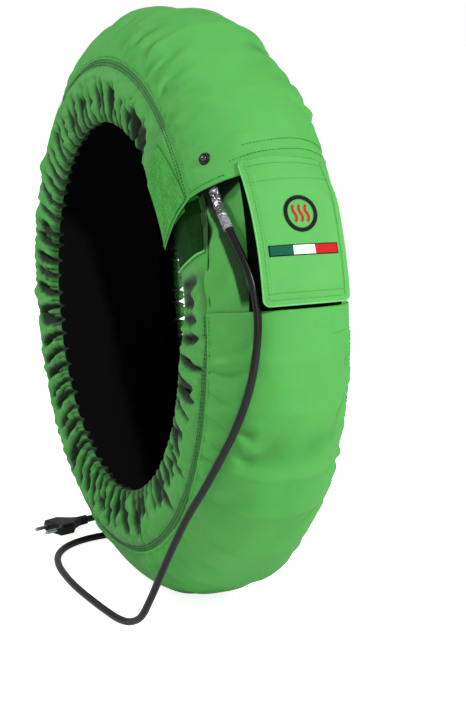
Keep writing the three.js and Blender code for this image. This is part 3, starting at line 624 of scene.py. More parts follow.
LOW_LAYER = 0.0055
TOP_LAYER = 0.0137
coil_points = [coil_point(a, 0.0481, LOW_LAYER) for a in range(0, 271, 15)]
coil_points += [
    coil_point(270 + 90 * s, 0.0481 - 0.0083 * (s * s * (3 - 2 * s)), LOW_LAYER)
    for s in (1 / 6, 2 / 6, 3 / 6, 4 / 6, 5 / 6)
]
coil_points += [coil_point(a, 0.0398, LOW_LAYER) for a in range(360, 646, 15)]
coil_points += [
    coil_point(645 + 75 * s, 0.0398 + 0.0042 * s, LOW_LAYER + (TOP_LAYER - LOW_LAYER) * s * s * (3 - 2 * s))
    for s in (0.2, 0.4, 0.6, 0.8, 1)
]
coil_points += [coil_point(a, 0.044, TOP_LAYER) for a in range(735, 901, 15)]
tail_points = [
    (-0.259, 0.0282, 0.0125), (-0.2586, 0.015, 0.0093), (-0.255, 0.003, 0.0062),
    (-0.248, -0.0075, 0.0052), (-0.2405, -0.0155, 0.0056), (-0.2347, -0.0234, 0.0066),
]
plug_heading = Vector((0.38, -0.92, 0)).normalized()
plug_rear = Vector((-0.2295, -0.036, 0.007))
cord_points = [*exit_points, *hang_points, *coil_points, *tail_points, plug_rear + plug_heading * 0.004]
cord_path, cord_length = route_through(cord_points, 0.004)
cord = tube_mesh("power_cord", cord_path, CORD_DIAMETER / 2, 16, cord_rubber)
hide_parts("power_cord_drop", "power_cord_coil", "power_cord_tail")

# Cover: one padded strip from the flap's edge round to the cross seam


class Waves:
    """Smooth random height over a flat sheet, from plane waves of a band of lengths."""

    def __init__(self, seed, shortest, longest, count=28):
        dice = np.random.default_rng(seed)
        length = np.exp(dice.uniform(np.log(shortest), np.log(longest), count))
        aim = dice.uniform(0, 2 * np.pi, count)
        self.pulse = np.stack([np.cos(aim), np.sin(aim)]) * 2 * np.pi / length
        self.start = dice.uniform(0, 2 * np.pi, count)
        self.share = (length / length.max()) ** 0.5

    def height(self, along, across):
        total = np.zeros_like(along)
        for k in range(len(self.start)):
            phase = self.pulse[0, k] * along + self.pulse[1, k] * across + self.start[k]
            total += self.share[k] * np.sin(phase)
        return total / np.sqrt((self.share**2).sum() / 2)


def crease(along, across, start, end, width, depth, bend=0.0):
    """A soft crease between two places on a flat sheet: a groove with a raised lip on each side."""
    start, end = np.array(start), np.array(end)
    run = end - start
    length = np.hypot(*run)
    ahead = run / length
    s = ((along - start[0]) * ahead[0] + (across - start[1]) * ahead[1]) / length
    d = (along - start[0]) * -ahead[1] + (across - start[1]) * ahead[0]
    d = d - bend * length * np.sin(np.pi * np.clip(s, 0, 1))
    fade = smooth(s, -0.12, 0.12) * (1 - smooth(s, 0.55, 1.1))
    grow = width * (0.7 + 0.8 * np.clip(s, 0, 1))
    q = d / grow
    return depth * fade * (-np.exp(-q * q) + 0.45 * np.exp(-((np.abs(q) - 1.9) ** 2)))


# Length along the crown's section from its middle, at even shares from seam to seam
FLAT_RADIUS = 0.3
SECTION_STEPS = 400
section_fine = np.linspace(-1, 1, 2 * SECTION_STEPS + 1)
section_run = run_along(np.stack([SEAM_HALF_WIDTH * section_fine, crown_radius(section_fine)], -1))
section_run = section_run - section_run[SECTION_STEPS]
HALF_SECTION = section_run[-1]


def cover_grid(columns, rows, from_angle, to_angle):
    """Even grid over the crown: angles, shares from seam to seam, and flat places in metres."""
    angle = np.linspace(from_angle, to_angle, columns)[:, None] * np.ones(rows)[None, :]
    run = np.linspace(-HALF_SECTION, HALF_SECTION, rows)
    t = np.interp(run, section_run, section_fine)[None, :] * np.ones(columns)[:, None]
    along = np.radians(angle) * FLAT_RADIUS
    across = run[None, :] * np.ones(columns)[:, None]
    return angle, t, along, across


PLACED_CREASES = [
    ((71, -0.97), (71, -0.51), 0.006, 0.003),
    ((65, -0.89), (70.5, -0.44), 0.007, 0.0035),
    ((72.5, -0.95), (78, -0.6), 0.005, 0.0028),
    ((80, -0.97), (84, -0.55), 0.005, 0.0026),
    ((58, -0.97), (60, -0.7), 0.008, 0.0036),
    ((53, -0.97), (54, -0.78), 0.005, 0.0026),
    ((40, -0.725), (42.5, -0.5), 0.003, 0.0018),
    ((345.5, -0.99), (345, -0.7), 0.007, 0.0042),
    ((346.5, -0.59), (345, -0.41), 0.006, 0.003),
    ((342.5, -0.625), (339.5, -0.39), 0.006, 0.003),
    ((352, -0.97), (350, -0.62), 0.006, 0.0034),
    ((357, -0.97), (356, -0.76), 0.005, 0.003),
    ((363, -0.97), (362, -0.7), 0.006, 0.0028),
    ((337, -0.97), (335, -0.6), 0.007, 0.0036),
    ((331, -0.97), (330, -0.72), 0.006, 0.0036),
    ((352, 0.97), (348, 0.55), 0.006, 0.003),
    ((360, 0.97), (355, 0.62), 0.006, 0.003),
]
dice = np.random.default_rng(11)
creases = [
    (
        (math.radians(a) * FLAT_RADIUS, share * HALF_SECTION),
        (math.radians(b) * FLAT_RADIUS, far * HALF_SECTION),
        width,
        depth,
        0.05,
    )
    for (a, share), (b, far), width, depth in PLACED_CREASES
]
for side in (-1, 1):
    place = FLAP_EDGE + 6
    while place < CROSS_SEAM + 356:
        long_one = dice.random() < 0.45
        reach = (dice.uniform(0.45, 0.85) if long_one else dice.uniform(0.12, 0.3)) * HALF_SECTION
        slope = dice.uniform(-0.55, 0.55)
        start = (math.radians(place) * FLAT_RADIUS, side * HALF_SECTION)
        end = (start[0] + slope * reach, side * (HALF_SECTION - reach))
        depth = dice.uniform(0.0012, 0.0030) if long_one else dice.uniform(0.0012, 0.0024)
        width = dice.uniform(0.0045, 0.008) if long_one else dice.uniform(0.0028, 0.0045)
        creases.append((start, end, width, depth, dice.uniform(-0.12, 0.12)))
        place += dice.uniform(1.6, 4.6)


def polygon_relief(angle, seed, shortest, longest):
    """The stiff padding bends at intervals, so the crown is a little straight between them."""
    turns = [FLAP_EDGE - 4.0]
    dice = np.random.default_rng(seed)
    while turns[-1] < 430:
        turns.append(turns[-1] + dice.uniform(shortest, longest))
    turns = np.array(turns)
    after = np.clip(np.searchsorted(turns, angle), 1, len(turns) - 1)
    low, high = turns[after - 1], turns[after]
    middle, half = (low + high) / 2, np.radians((high - low) / 2)
    straight = CROWN_RADIUS * np.cos(half) / np.cos(np.radians(angle - middle)) - CROWN_RADIUS
    return straight + CROWN_RADIUS * half**2 / 6


def cover_relief(angle, t, along, across):
    """How far the padded cover stands out from its plain form."""
    broad = Waves(3, 0.10, 0.26).height(along, across) * 0.0013
    soft = Waves(5, 0.035, 0.09).height(along, across) * 0.00045
    sharp = np.zeros_like(along)
    for start, end, width, depth, bend in creases:
        sharp += crease(along, across, start, end, width, depth, bend)
    broad += 1.5 * polygon_relief(angle, 6, 8.0, 15.0) * smooth(1 - np.abs(t), 0.05, 0.5)
    ends = smooth(angle, FLAP_EDGE, FLAP_EDGE + 4) * (1 - smooth(angle, CROSS_SEAM + 354, CROSS_SEAM + 360))
    seams = 1 - 0.75 * smooth(np.abs(t), 0.93, 1.0)
    puff = 0.0012 * (1 - smooth(np.abs(t), 0.9, 1.0))
    down = 1 - smooth(np.cos(np.radians(angle + 90)), 0.965, 0.99)
    relief = (broad + soft + sharp) * (0.25 + 0.75 * ends) * seams * down
    over_panel = 0.12 + 0.88 * smooth(angle, PANEL_END + 1, PANEL_END + 6)
    return np.where(relief < 0, relief * over_panel, relief) + puff * down


angle, t, along, across = cover_grid(620, 66, FLAP_EDGE, CROSS_SEAM + 360)
relief = cover_relief(angle, t, along, across)
cover_points = band_surface(angle, t, -relief)
# The cover's creases are darkened in its colour by their depth: painted shade.
cover = grid_mesh(
    "cover_cloth",
    cover_points,
    cover_cloth,
    np.stack([along, across], -1),
    inner=lining_cloth,
    thickness=0.0012,
    dark=0.25 * smooth(-relief, 0.0008, 0.0045),
)
flip_to(cover, off_axis)
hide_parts("outer_cover")

# Felt padding under the cover

PAD_REACH = 0.9
PAD_GIVE = 1.15
PAD_OUTSIDE = 0.0035
PAD_INSIDE = 0.0095
PAD_LEAST = 0.0025
angle, t, along, across = cover_grid(520, 44, PAD_OVER_END, CROSS_SEAM + 358)
t = PAD_REACH * t
across = np.interp(t, section_fine, section_run)
sink = PAD_GIVE * np.maximum(0, -cover_relief(angle, t, along, across))
outside = band_surface(angle, t, PAD_OUTSIDE + sink)
inside = band_surface(angle, t, np.maximum(PAD_INSIDE, PAD_OUTSIDE + PAD_LEAST + sink))
pad_points = np.concatenate([outside, inside[:, ::-1]], axis=1)
pad = grid_mesh("felt_padding", np.concatenate([pad_points, pad_points[:, :1]], axis=1), felt)
close_up(pad)
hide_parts("insulation_pad")

# Panel under the flap

angle, t, along, across = cover_grid(250, 130, CROSS_SEAM - PANEL_LAP, PANEL_END)
sag = Waves(8, 0.03, 0.08).height(along, across) * 0.0016 * smooth(angle, CROSS_SEAM, CROSS_SEAM + 4)
depth = PAD_DEPTH * smooth(angle, CROSS_SEAM - 3, CROSS_SEAM + 3) + pocket(angle, t) + 0.0004


def mouth_shade_edge(t):
    """Angle down to which the mouth under the flap is painted dark as shade."""
    shares = [-1, -0.93, -0.88, -0.82, -0.76, -0.7, -0.62, -0.5, 1]
    drops = [1.6, 2.6, 4.4, 3.4, 2.2, 1.5, 1.0, 0.6, 0.4]
    return FLAP_EDGE - np.interp(t, shares, drops)


# Painted shade on the panel: a dark band beside the cord as the cord's painted shadow, the pocket's dark
# corner, and the dark mouth under the flap's edge.
CORD_SHADOW_PATH = [(33, -0.93), (30.5, -0.9), (27, -0.87), (22, -0.785), (17, -0.715), (12, -0.67), (7.5, -0.66)]
cord_shadow_angles, cord_shadow_shares = zip(*reversed(CORD_SHADOW_PATH))
cord_shadow_at = 0.012 + np.interp(angle, cord_shadow_angles, cord_shadow_shares)
cord_shadow_off = np.abs(across - np.interp(cord_shadow_at, section_fine, section_run))
cord_shadow_half = 0.0046 + 0.0014 * smooth(angle, 9, 20)
cord_shadow = 0.93 * (1 - smooth(cord_shadow_off, cord_shadow_half, cord_shadow_half + 0.0016)) * smooth(angle, 9.2, 11.5)
corner_shade = smooth(angle, 20.5, 23.5) * (1 - smooth(t, -0.965, -0.935))
mouth = smooth(angle, mouth_shade_edge(t) - 0.4, mouth_shade_edge(t) + 0.3)
panel_painted_shade = np.maximum(mouth, np.maximum(cord_shadow, 0.9 * corner_shade))
panel = grid_mesh(
    "under_panel_cloth",
    band_surface(angle, t, depth - np.minimum(sag, 0.0012)),
    cover_cloth,
    np.stack([along, across], -1),
    thickness=0.001,
    dark=panel_painted_shade,
)
flip_to(panel, off_axis)
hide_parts("under_panel")

# Lining

LINING_SEAM = 0.0028
angle, t, along, across = cover_grid(420, 40, PAD_OVER_END, PAD_UNDER_END)
turned = angle - 360
sunk = np.where(turned > CROSS_SEAM - 2 * PANEL_LAP, UNDER_PAD_DEPTH - PAD_DEPTH + pocket(turned, t), 0)
depth = LINING_DEPTH + FACET_SINK + 0.0003 * Waves(21, 0.02, 0.05).height(along, across)
depth = sunk + LINING_SEAM + (depth - LINING_SEAM) * (1 - smooth(np.abs(t), 0.91, 0.995))
lining = grid_mesh(
    "lining_cloth", band_surface(angle, t, depth), lining_cloth, np.stack([along, across], -1),
    thickness=0.001,
)
flip_to(lining, lambda p: (-p.x, 0, REST_HEIGHT - p.z))
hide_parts("inner_lining")

# Gathered side skirts

SKIRT_COLUMNS = 1060
SKIRT_ROWS = 30
SKIRT_CUT_RADIUS = 0.3
RELAX_FRAMES = 12
RELAX_SHARE = 0.2
HELD_TO = 51
HELD_FROM = 384
FREE_END_DROOP = 0.0155
CLEAR_OF_HEM = 0.22
FIRST_FOLD = 54
TUCKED_UP = 0.004
TUCKED_BACK = 0.002
SKIRT_ROLL = [
    (0.2022, 0.0808), (0.2018, 0.0785), (0.2022, 0.0764), (0.2034, 0.0752), (0.2062, 0.0749),
    (0.211, 0.0749), (0.2165, 0.075),
]


def skirt_base(side, share, v):
    """Angles, radius and half width of the plain skirt: share round it, v from seam to hem."""
    angle = FLAP_EDGE - SKIRT_LEAN * v + (SKIRT_UNDER_END - FLAP_EDGE + SKIRT_LEAN * v) * share
    droop = FREE_END_DROOP * (1 - smooth(angle, 46, 66))
    radius = SEAM_RADIUS + (HEM_RADIUS - droop - SEAM_RADIUS) * v
    belly = (SEAM_RADIUS - BELLY_RADIUS) / (SEAM_RADIUS - HEM_RADIUS)
    half = np.interp(v, [0, belly, 1], [SEAM_HALF_WIDTH, BELLY_HALF_WIDTH, HEM_HALF_WIDTH])
    half = half + 0.0035 * np.sin(np.pi * np.clip(v, 0, 1)) ** 0.8
    tucked = SKIRT_TUCK * smooth(angle, 352, 372)
    turned = angle - 360
    at_panel = np.where(turned > CROSS_SEAM - PANEL_LAP, PAD_DEPTH + pocket(turned, side), tucked)
    top = 1 - smooth(v, 0.05, 0.4)
    behind = turned > CROSS_SEAM - PANEL_LAP
    radius = radius + TUCKED_UP * behind * (1 - smooth(v, 0, 0.03))
    half = half - TUCKED_BACK * behind * (1 - smooth(v, 0.05, 0.14))
    return angle, radius, half - at_panel * top - tucked * (1 - top)


class Folds:
    """Gathers: valleys at uneven distances round the ring, each with its own start, depth and lean."""

    def __init__(self, seed, spacing, depth, width, start, lean=2.0, placed=()):
        dice = np.random.default_rng(seed)
        self.valleys = list(placed)
        place = FIRST_FOLD
        while place < 385:
            place += math.degrees(dice.uniform(*spacing) / 0.235)
            begins, deep, wide = dice.uniform(*start), dice.uniform(*depth), dice.uniform(*width)
            self.valleys.append((place, begins, deep, wide, dice.normal(0, lean)))

    def height(self, angle, radius, v):
        total = np.zeros_like(angle)
        for place, start, depth, width, lean in self.valleys:
            near = np.abs(angle[:, -1] - place) < 9
            share = np.clip((v[near] - start) / (1 - start), 0, 1)
            away = np.radians(angle[near] - place - lean * (v[near] - 0.8)) * radius[near]
            spindle = width * (0.4 + 0.6 * np.sin(np.pi * np.clip(share * 1.05, 0, 1)) ** 0.8)
            total[near] -= depth * smooth(share, 0, 0.35) * np.exp(-(np.abs(away / spindle) ** 1.5))
        return total


# Valleys beside the closure: angle, start from the seam, depth, width and lean
CLOSING_FOLDS = [
    (376.5, 0.12, 0.012, 0.0085, 0.0),
    (373.0, 0.3, 0.009, 0.005, 2.0),
    (68.5, 0.25, 0.016, 0.0085, 3.0),
    (61, 0.3, 0.014, 0.0065, 4.0),
]


def skirt_points(side, seed):
    """The gathered cloth from seam to hem, before it is relaxed."""
    share = np.linspace(0, 1, SKIRT_COLUMNS)[:, None] * np.ones(SKIRT_ROWS)[None, :]
    v = np.ones(SKIRT_COLUMNS)[:, None] * np.linspace(0, 1, SKIRT_ROWS)[None, :]
    angle, radius, half = skirt_base(side, share, v)
    run = SEAM_RADIUS * np.radians(angle)
    deep = Folds(seed, (0.0125, 0.024), (0.009, 0.018), (0.0038, 0.0066), (0.06, 0.38), placed=CLOSING_FOLDS)
    fine = Folds(seed + 1, (0.0065, 0.0105), (0.002, 0.0048), (0.0014, 0.0024), (0.6, 0.85), lean=1.0)
    crumple = np.abs(Waves(seed + 2, 0.016, 0.05).height(run, 0.066 * v)) - 0.8
    swing = smooth(angle, 51, 57) * (1 - smooth(angle, 372, 380))
    puffed = 0.0042 * smooth(v, 0.04, 0.3) * (1 - smooth(v, 0.86, 1.0))
    calm = 1 - 0.8 * smooth(angle, 348, 362)
    teeth = calm * fine.height(angle, radius, v)
    wave = deep.height(angle, radius, v) + teeth
    wave += puffed + 0.0017 * crumple * smooth(v, 0.03, 0.25) * (1 - smooth(v, 0.85, 1.0))
    at_hem = 0.5 + 0.48 * smooth(angle, 300, 350)
    wave = wave * swing * (1 - at_hem * smooth(v, 0.8, 1.0))
    wave = np.where(wave < 0, wave * (1 - 0.55 * smooth(angle, 355, 366)), wave)
    radius = radius - 0.55 * swing * teeth * smooth(v, 0.85, 1.0)
    return angle, polar(angle, side * (half + wave), radius), v


def add_roll(side, angle, points):
    """The hem folded over its elastic and back up inside, following the hem's own waves."""
    hem = points[:, -1, :]
    hem_angle = angle[:, -1]
    droop = FREE_END_DROOP * (1 - smooth(hem_angle, 46, 66))
    tuck = SKIRT_TUCK * smooth(hem_angle, 352, 372)
    plain = polar(hem_angle, side * (HEM_HALF_WIDTH - tuck), HEM_RADIUS - droop)
    swing = hem - plain
    rows = []
    for k, (radius, half) in enumerate(SKIRT_ROLL):
        keep = 1 - 0.5 * k / len(SKIRT_ROLL)
        rows.append(polar(hem_angle, side * (half - tuck), radius - droop) + keep * swing)
    core = polar(hem_angle, side * (0.0777 - tuck), 0.2048 - droop) + 0.75 * swing
    return np.concatenate([points, np.stack(rows, axis=1)], axis=1), core


def relaxed(side, angle, points, v):
    """The gathered strip after the cloth has found its folds. It is cut as a straight strip."""
    size = 10
    columns, rows = points.shape[:2]
    mesh = bpy.data.meshes.new("strip")
    mesh.from_pydata((points * size).reshape(-1, 3).tolist(), [], grid_faces(columns, rows))
    strip = new_object("strip", mesh)
    strip.shape_key_add(name="Basis")
    cut = strip.shape_key_add(name="Cut")
    depth = 1.06 * (SEAM_RADIUS - HEM_RADIUS)
    flat = np.stack([SKIRT_CUT_RADIUS * np.radians(angle[:, :1]) * np.ones(rows), depth * v, 0 * v], -1)
    cut.data.foreach_set("co", (flat * size).ravel())
    held = strip.vertex_groups.new(name="held")
    pinned = np.zeros((columns, rows), dtype=bool)
    pinned[:, 0] = pinned[:, -1] = True
    pinned |= (angle < HELD_TO) | (angle > HELD_FROM)
    held.add(np.flatnonzero(pinned.ravel()).tolist(), 1.0, "REPLACE")
    cloth = strip.modifiers.new("cloth", "CLOTH")
    settings = cloth.settings
    settings.quality = 5
    settings.mass = 0.2
    settings.tension_stiffness = 12
    settings.compression_stiffness = 12
    settings.shear_stiffness = 4
    settings.bending_stiffness = 0.6
    settings.tension_damping = 8
    settings.compression_damping = 8
    settings.shear_damping = 8
    settings.bending_damping = 1
    settings.air_damping = 3
    settings.vertex_group_mass = "held"
    settings.rest_shape_key = cut
    settings.effector_weights.gravity = 0.0
    cloth.collision_settings.use_collision = False
    cloth.collision_settings.use_self_collision = False
    cloth.point_cache.frame_start = 1
    cloth.point_cache.frame_end = RELAX_FRAMES
    for at in range(1, RELAX_FRAMES + 1):
        scene.frame_set(at)
    settled = strip.evaluated_get(bpy.context.evaluated_depsgraph_get()).to_mesh()
    found = np.empty(columns * rows * 3)
    settled.vertices.foreach_get("co", found)
    scene.frame_set(1)
    bpy.data.objects.remove(strip)
    found = found.reshape(columns, rows, 3) / size
    share = np.linspace(0, 1, columns)[:, None] * np.ones(rows)[None, :]
    plain_half = skirt_base(side, share, v)[2]
    away = side * found[:, :, 1] - plain_half
    found[:, :, 1] = side * (plain_half + np.clip(away, -0.016, 0.012))
    return found


def make_skirt(word, side, seed):
    angle, points, v = skirt_points(side, seed)
    points = (1 - RELAX_SHARE) * points + RELAX_SHARE * relaxed(side, angle, points, v)
    share = np.linspace(0, 1, SKIRT_COLUMNS)[:, None] * np.ones(SKIRT_ROWS)[None, :]
    sunk = skirt_base(side, share, v)[2] - side * points[:, :, 1]
    # Painted shade: the fold valleys, and the top of the pocket beside the loop patch, are darkened in the
    # cloth's colour.
    dark = 0.97 * smooth(sunk, -0.002, 0.0022) * smooth(angle, 52, 55) * (1 - smooth(angle, 376, 380))
    dark = np.maximum(dark, 0.85 * smooth(angle, 382, 383.5) * (1 - smooth(v, 0.05, 0.1)))
    points, core = add_roll(side, angle, points)
    rows = points.shape[1]
    dark = np.concatenate([dark, np.repeat(dark[:, -1:], rows - SKIRT_ROWS, axis=1)], axis=1)
    flat_along = SEAM_RADIUS * np.radians(angle[:, :1]) * np.ones(rows)
    steps = np.linalg.norm(np.diff(points, axis=1), axis=2)
    flat_across = np.cumsum(np.concatenate([np.zeros((len(points), 1)), steps], axis=1), axis=1)
    skirt = grid_mesh(
        f"{word}_skirt_cloth",
        points,
        skirt_cloth,
        np.stack([flat_along, flat_across], -1),
        inner=lining_cloth,
        thickness=0.0006,
        dark=dark,
    )
    flip_to(skirt, lambda p: (0, side if math.hypot(p.x, p.z - REST_HEIGHT) > CLEAR_OF_HEM else 0, 0))
    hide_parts(f"{word}_side_skirt")
    band = tube_mesh(f"{word}_elastic_band", core[10:-10], 0.0009, 8, elastic)
    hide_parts(f"{word}_hem_elastic")


make_skirt("near", -1, 4)
make_skirt("far", 1, 9)


def seam_line(side, inward, rise, from_angle, to_angle):
    """A line beside the seam: inward metres from it, on the skirt if positive and on the cover if not."""
    angle = np.linspace(from_angle, to_angle, 700)
    if inward > 0:
        share = (angle - FLAP_EDGE) / (SKIRT_UNDER_END - FLAP_EDGE)
        v = np.full_like(angle, inward / (SEAM_RADIUS - HEM_RADIUS))
        _, radius, half = skirt_base(side, share, v)
        return polar(angle, side * (half + rise), radius)
    t = np.interp(HALF_SECTION + inward, section_run, section_fine)
    return band_surface(angle, np.full_like(angle, side * t), -rise)


SEWN_FROM = FLAP_EDGE + 1
SEWN_TO = 368
for word, side in (("near", -1), ("far", 1)):
    first_row = seam_line(side, 0.0028, 0.0007, SEWN_FROM, SEWN_TO)
    second_row = seam_line(side, 0.0056, 0.0009, SEWN_FROM, SEWN_TO)
    cover_row = seam_line(side, -0.0035, 0.0008, SEWN_FROM, SEWN_TO)
    stitched(f"{word}_seam_stitches", [first_row, second_row], thread_dark)
    stitched(f"{word}_cover_stitches", [cover_row], thread_green, seed=3)


def on_skirt(side, angle, radius, rise):
    """A place on the plain part of a skirt."""
    angle, radius = np.broadcast_arrays(angle, radius)
    v = np.zeros_like(radius, dtype=float)
    for _ in range(4):
        share = (angle - FLAP_EDGE + SKIRT_LEAN * v) / (SKIRT_UNDER_END - FLAP_EDGE + SKIRT_LEAN * v)
        _, found, half = skirt_base(side, share, v)
        v = v + (found - radius) / (SEAM_RADIUS - HEM_RADIUS)
    return polar(angle, side * (half + rise), radius)


def skirt_patch(name, side, corners, material, rise, columns=60, rows=40):
    """A patch of tape between four (angle, radius) corners: top start, top end, low end, low start."""
    u = np.linspace(0, 1, columns)[:, None, None] * np.ones((columns, rows, 1))
    w = np.linspace(0, 1, rows)[None, :, None] * np.ones((columns, rows, 1))
    top_start, top_end, low_end, low_start = (np.array(c, dtype=float) for c in corners)
    flat = (1 - w) * ((1 - u) * top_start + u * top_end) + w * ((1 - u) * low_start + u * low_end)
    patch = grid_mesh(name, on_skirt(side, flat[..., 0], flat[..., 1], rise), material, thickness=0.0006)
    flip_to(patch, lambda p: (0, side, 0))
    return patch


def patch_line(side, start, end, rise, steps=40):
    share = np.linspace(0, 1, steps)[:, None]
    flat = (1 - share) * np.array(start) + share * np.array(end)
    return on_skirt(side, flat[:, 0], flat[:, 1], rise)


HOOK_CORNERS = [(53, 0.247), (34.6, 0.2645), (30.0, 0.1905), (52, 0.1905)]
for word, side in (("near", -1), ("far", 1)):
    hook = skirt_patch(f"{word}_hook_patch", side, HOOK_CORNERS, green_tape, 0.0012)
    low = 0.0016
    box = [(51, 0.243), (36, 0.257), (32.5, 0.2), (51, 0.2)]
    lines = [patch_line(side, box[k], box[(k + 1) % 4], low) for k in range(4)]
    lines += [patch_line(side, box[0], box[2], low), patch_line(side, box[1], box[3], low)]
    edge = [patch_line(side, (33.7, 0.2665), (29.6, 0.19), low)]
    cross = stitched(f"{word}_patch_stitches", lines + edge, pale_thread_and_edge_highlight, 0.0036, 0.0028, 0.00045, 5)

# Loop patch that the near skirt's free end closes on

LOOP_CORNERS = [(394.5, 0.264), (382.5, 0.2655), (381.5, 0.204), (394.5, 0.204)]
for word, side in (("near", -1), ("far", 1)):
    loop = skirt_patch(f"{word}_loop_patch", side, LOOP_CORNERS, loop_tape, 0.0009)
    # A pale tube along the pocket's lower edge: painted highlight on that fold.
    mouth_edge = patch_line(side, (382.3, 0.2685), (380.4, 0.2), 0.001)
    binding = tube_mesh(f"{word}_pocket_edge_highlight", mouth_edge, 0.0012, 8, pale_thread_and_edge_highlight)

# Closure tab

TAB_TOP = 36.5
TAB_END = 9.7
TAB_NEAR = -0.041
TAB_FAR = 0.057
TAB_BOW = 0.17
TAB_THICKNESS = 0.0024
TAB_FREED = 10


def tab_radius(angle, y):
    free = smooth(TAB_TOP - angle, 0, TAB_FREED)
    lift = 0.0006 + 0.0014 * np.minimum(1, 3 * free)
    bowed = CROWN_RADIUS - y * y / (2 * TAB_BOW)
    return crown_radius(y / SEAM_HALF_WIDTH) * (1 - free) + bowed * free + lift


def tab_point(a, b, rise):
    """a from the tab's top to its end, b from its near to its far edge."""
    angle = TAB_TOP + (TAB_END - TAB_TOP) * a
    y = TAB_NEAR + (TAB_FAR - TAB_NEAR) * b
    return polar(angle, y, tab_radius(angle, y) + rise)


tab_length = math.radians(TAB_TOP - TAB_END) * CROWN_RADIUS
tab_width = TAB_FAR - TAB_NEAR
tab_billow = Waves(31, 0.03, 0.09)
TAB_HEM = 0.008


def tab_surface(down, along_edge, rise=0.0):
    """A place on the tab's face: metres down from its top and across from its near edge."""
    a, b = down / tab_length, along_edge / tab_width
    edge = np.minimum(np.minimum(along_edge, tab_width - along_edge), tab_length - down)
    border = 0.0006 * (1 - smooth(edge, TAB_HEM - 0.0018, TAB_HEM))
    channel = -0.0005 * np.exp(-(((edge - TAB_HEM) / 0.001) ** 2))
    height = tab_billow.height(np.asarray(down, float), np.asarray(along_edge, float))
    billow = 0.0007 * height * smooth(edge, 0.004, 0.02)
    free = 0.0042 * smooth(1 - b, 0.6, 1.0) * smooth(a, 0.12, 0.7)
    return tab_point(a, b, TAB_THICKNESS + border + channel + billow + free + rise)


columns, rows = 110, 90
down = np.linspace(0, tab_length, columns)[:, None] * np.ones(rows)[None, :]
across = np.ones(columns)[:, None] * np.linspace(0, tab_width, rows)[None, :]
corner = 0.007
from_end = tab_length - down
inset = np.where(from_end < corner, corner - np.sqrt(np.maximum(0, corner**2 - (corner - from_end) ** 2)), 0)
across = tab_width / 2 + (across - tab_width / 2) * (1 - 2 * inset / tab_width)
tab_face = tab_surface(down, across)
tab = grid_mesh("tab_cloth", tab_face, tab_cloth, np.stack([down, across], -1), thickness=TAB_THICKNESS)
flip_to(tab, off_axis)
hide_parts("closure_tab")


def tab_line(places, step=0.0015):
    """A line on the tab through (down, across) places."""
    places = np.array(places, dtype=float)
    run = run_along(places)
    even = np.linspace(0, run[-1], max(2, int(run[-1] / step)))
    return np.interp(even, run, places[:, 0]), np.interp(even, run, places[:, 1])


def rounded_end(gap):
    """Down the near edge, round both lower corners and up the far edge, gap metres inside the edge."""
    bend = corner - gap
    low, far = tab_length - corner, tab_width - corner
    turn = np.linspace(0, np.pi / 2, 8)
    places = [(0.004, gap), (low, gap)]
    places += [(low + bend * math.sin(q), corner - bend * math.cos(q)) for q in turn]
    places += [(low + bend * math.cos(q), far + bend * math.sin(q)) for q in turn]
    return places + [(low, tab_width - gap), (0.004, tab_width - gap)]


# Pale piping round the tab's near and lower edges: a bound edge, its paler colour a painted highlight.
piping_line = tab_surface(*tab_line(rounded_end(0.0007)), -0.0004)
piping = tube_mesh("tab_piping_highlight", piping_line, 0.0009, 8, pale_thread_and_edge_highlight)
seams = [
    rounded_end(0.0062),
    [(0.0075, 0.006), (0.0075, tab_width - 0.006)],
    [(0.026, 0.006), (0.0245, tab_width - 0.006)],
    [(tab_length - 0.0125, 0.008), (tab_length - 0.0125, tab_width - 0.008)],
]
tab_rows = [tab_surface(*tab_line(line), 0.0004) for line in seams]
tab_stitches = stitched("tab_stitches", tab_rows, thread_green, 0.0036, 0.0027, 0.0004, 7)


def printed(name, low, high, left, right, material, rise=0.0004):
    """A printed rectangle on the tab, laid on its own grid."""
    steps = max(2, int((right - left) / 0.0022)), max(2, int((high - low) / 0.0022))
    across = np.linspace(left, right, steps[0])[:, None] * np.ones(steps[1])[None, :]
    down = np.ones(steps[0])[:, None] * np.linspace(low, high, steps[1])[None, :]
    patch = grid_mesh(name, tab_surface(down, across, rise), material)
    flip_to(patch, off_axis)
    return patch


def ribbon(name, places, width, material, rise=0.0005):
    """A printed line on the tab through (down, across) places."""
    down, across = tab_line(places, 0.001)
    heading = np.gradient(np.stack([down, across], -1), axis=0)
    heading /= np.maximum(np.linalg.norm(heading, axis=1, keepdims=True), 1e-9)
    offsets = np.array([-0.5, 0, 0.5]) * width
    rows_down = down[:, None] - heading[:, 1:] * offsets
    rows_across = across[:, None] + heading[:, :1] * offsets
    line = grid_mesh(name, tab_surface(rows_down, rows_across, rise), material)
    flip_to(line, off_axis)
    return line


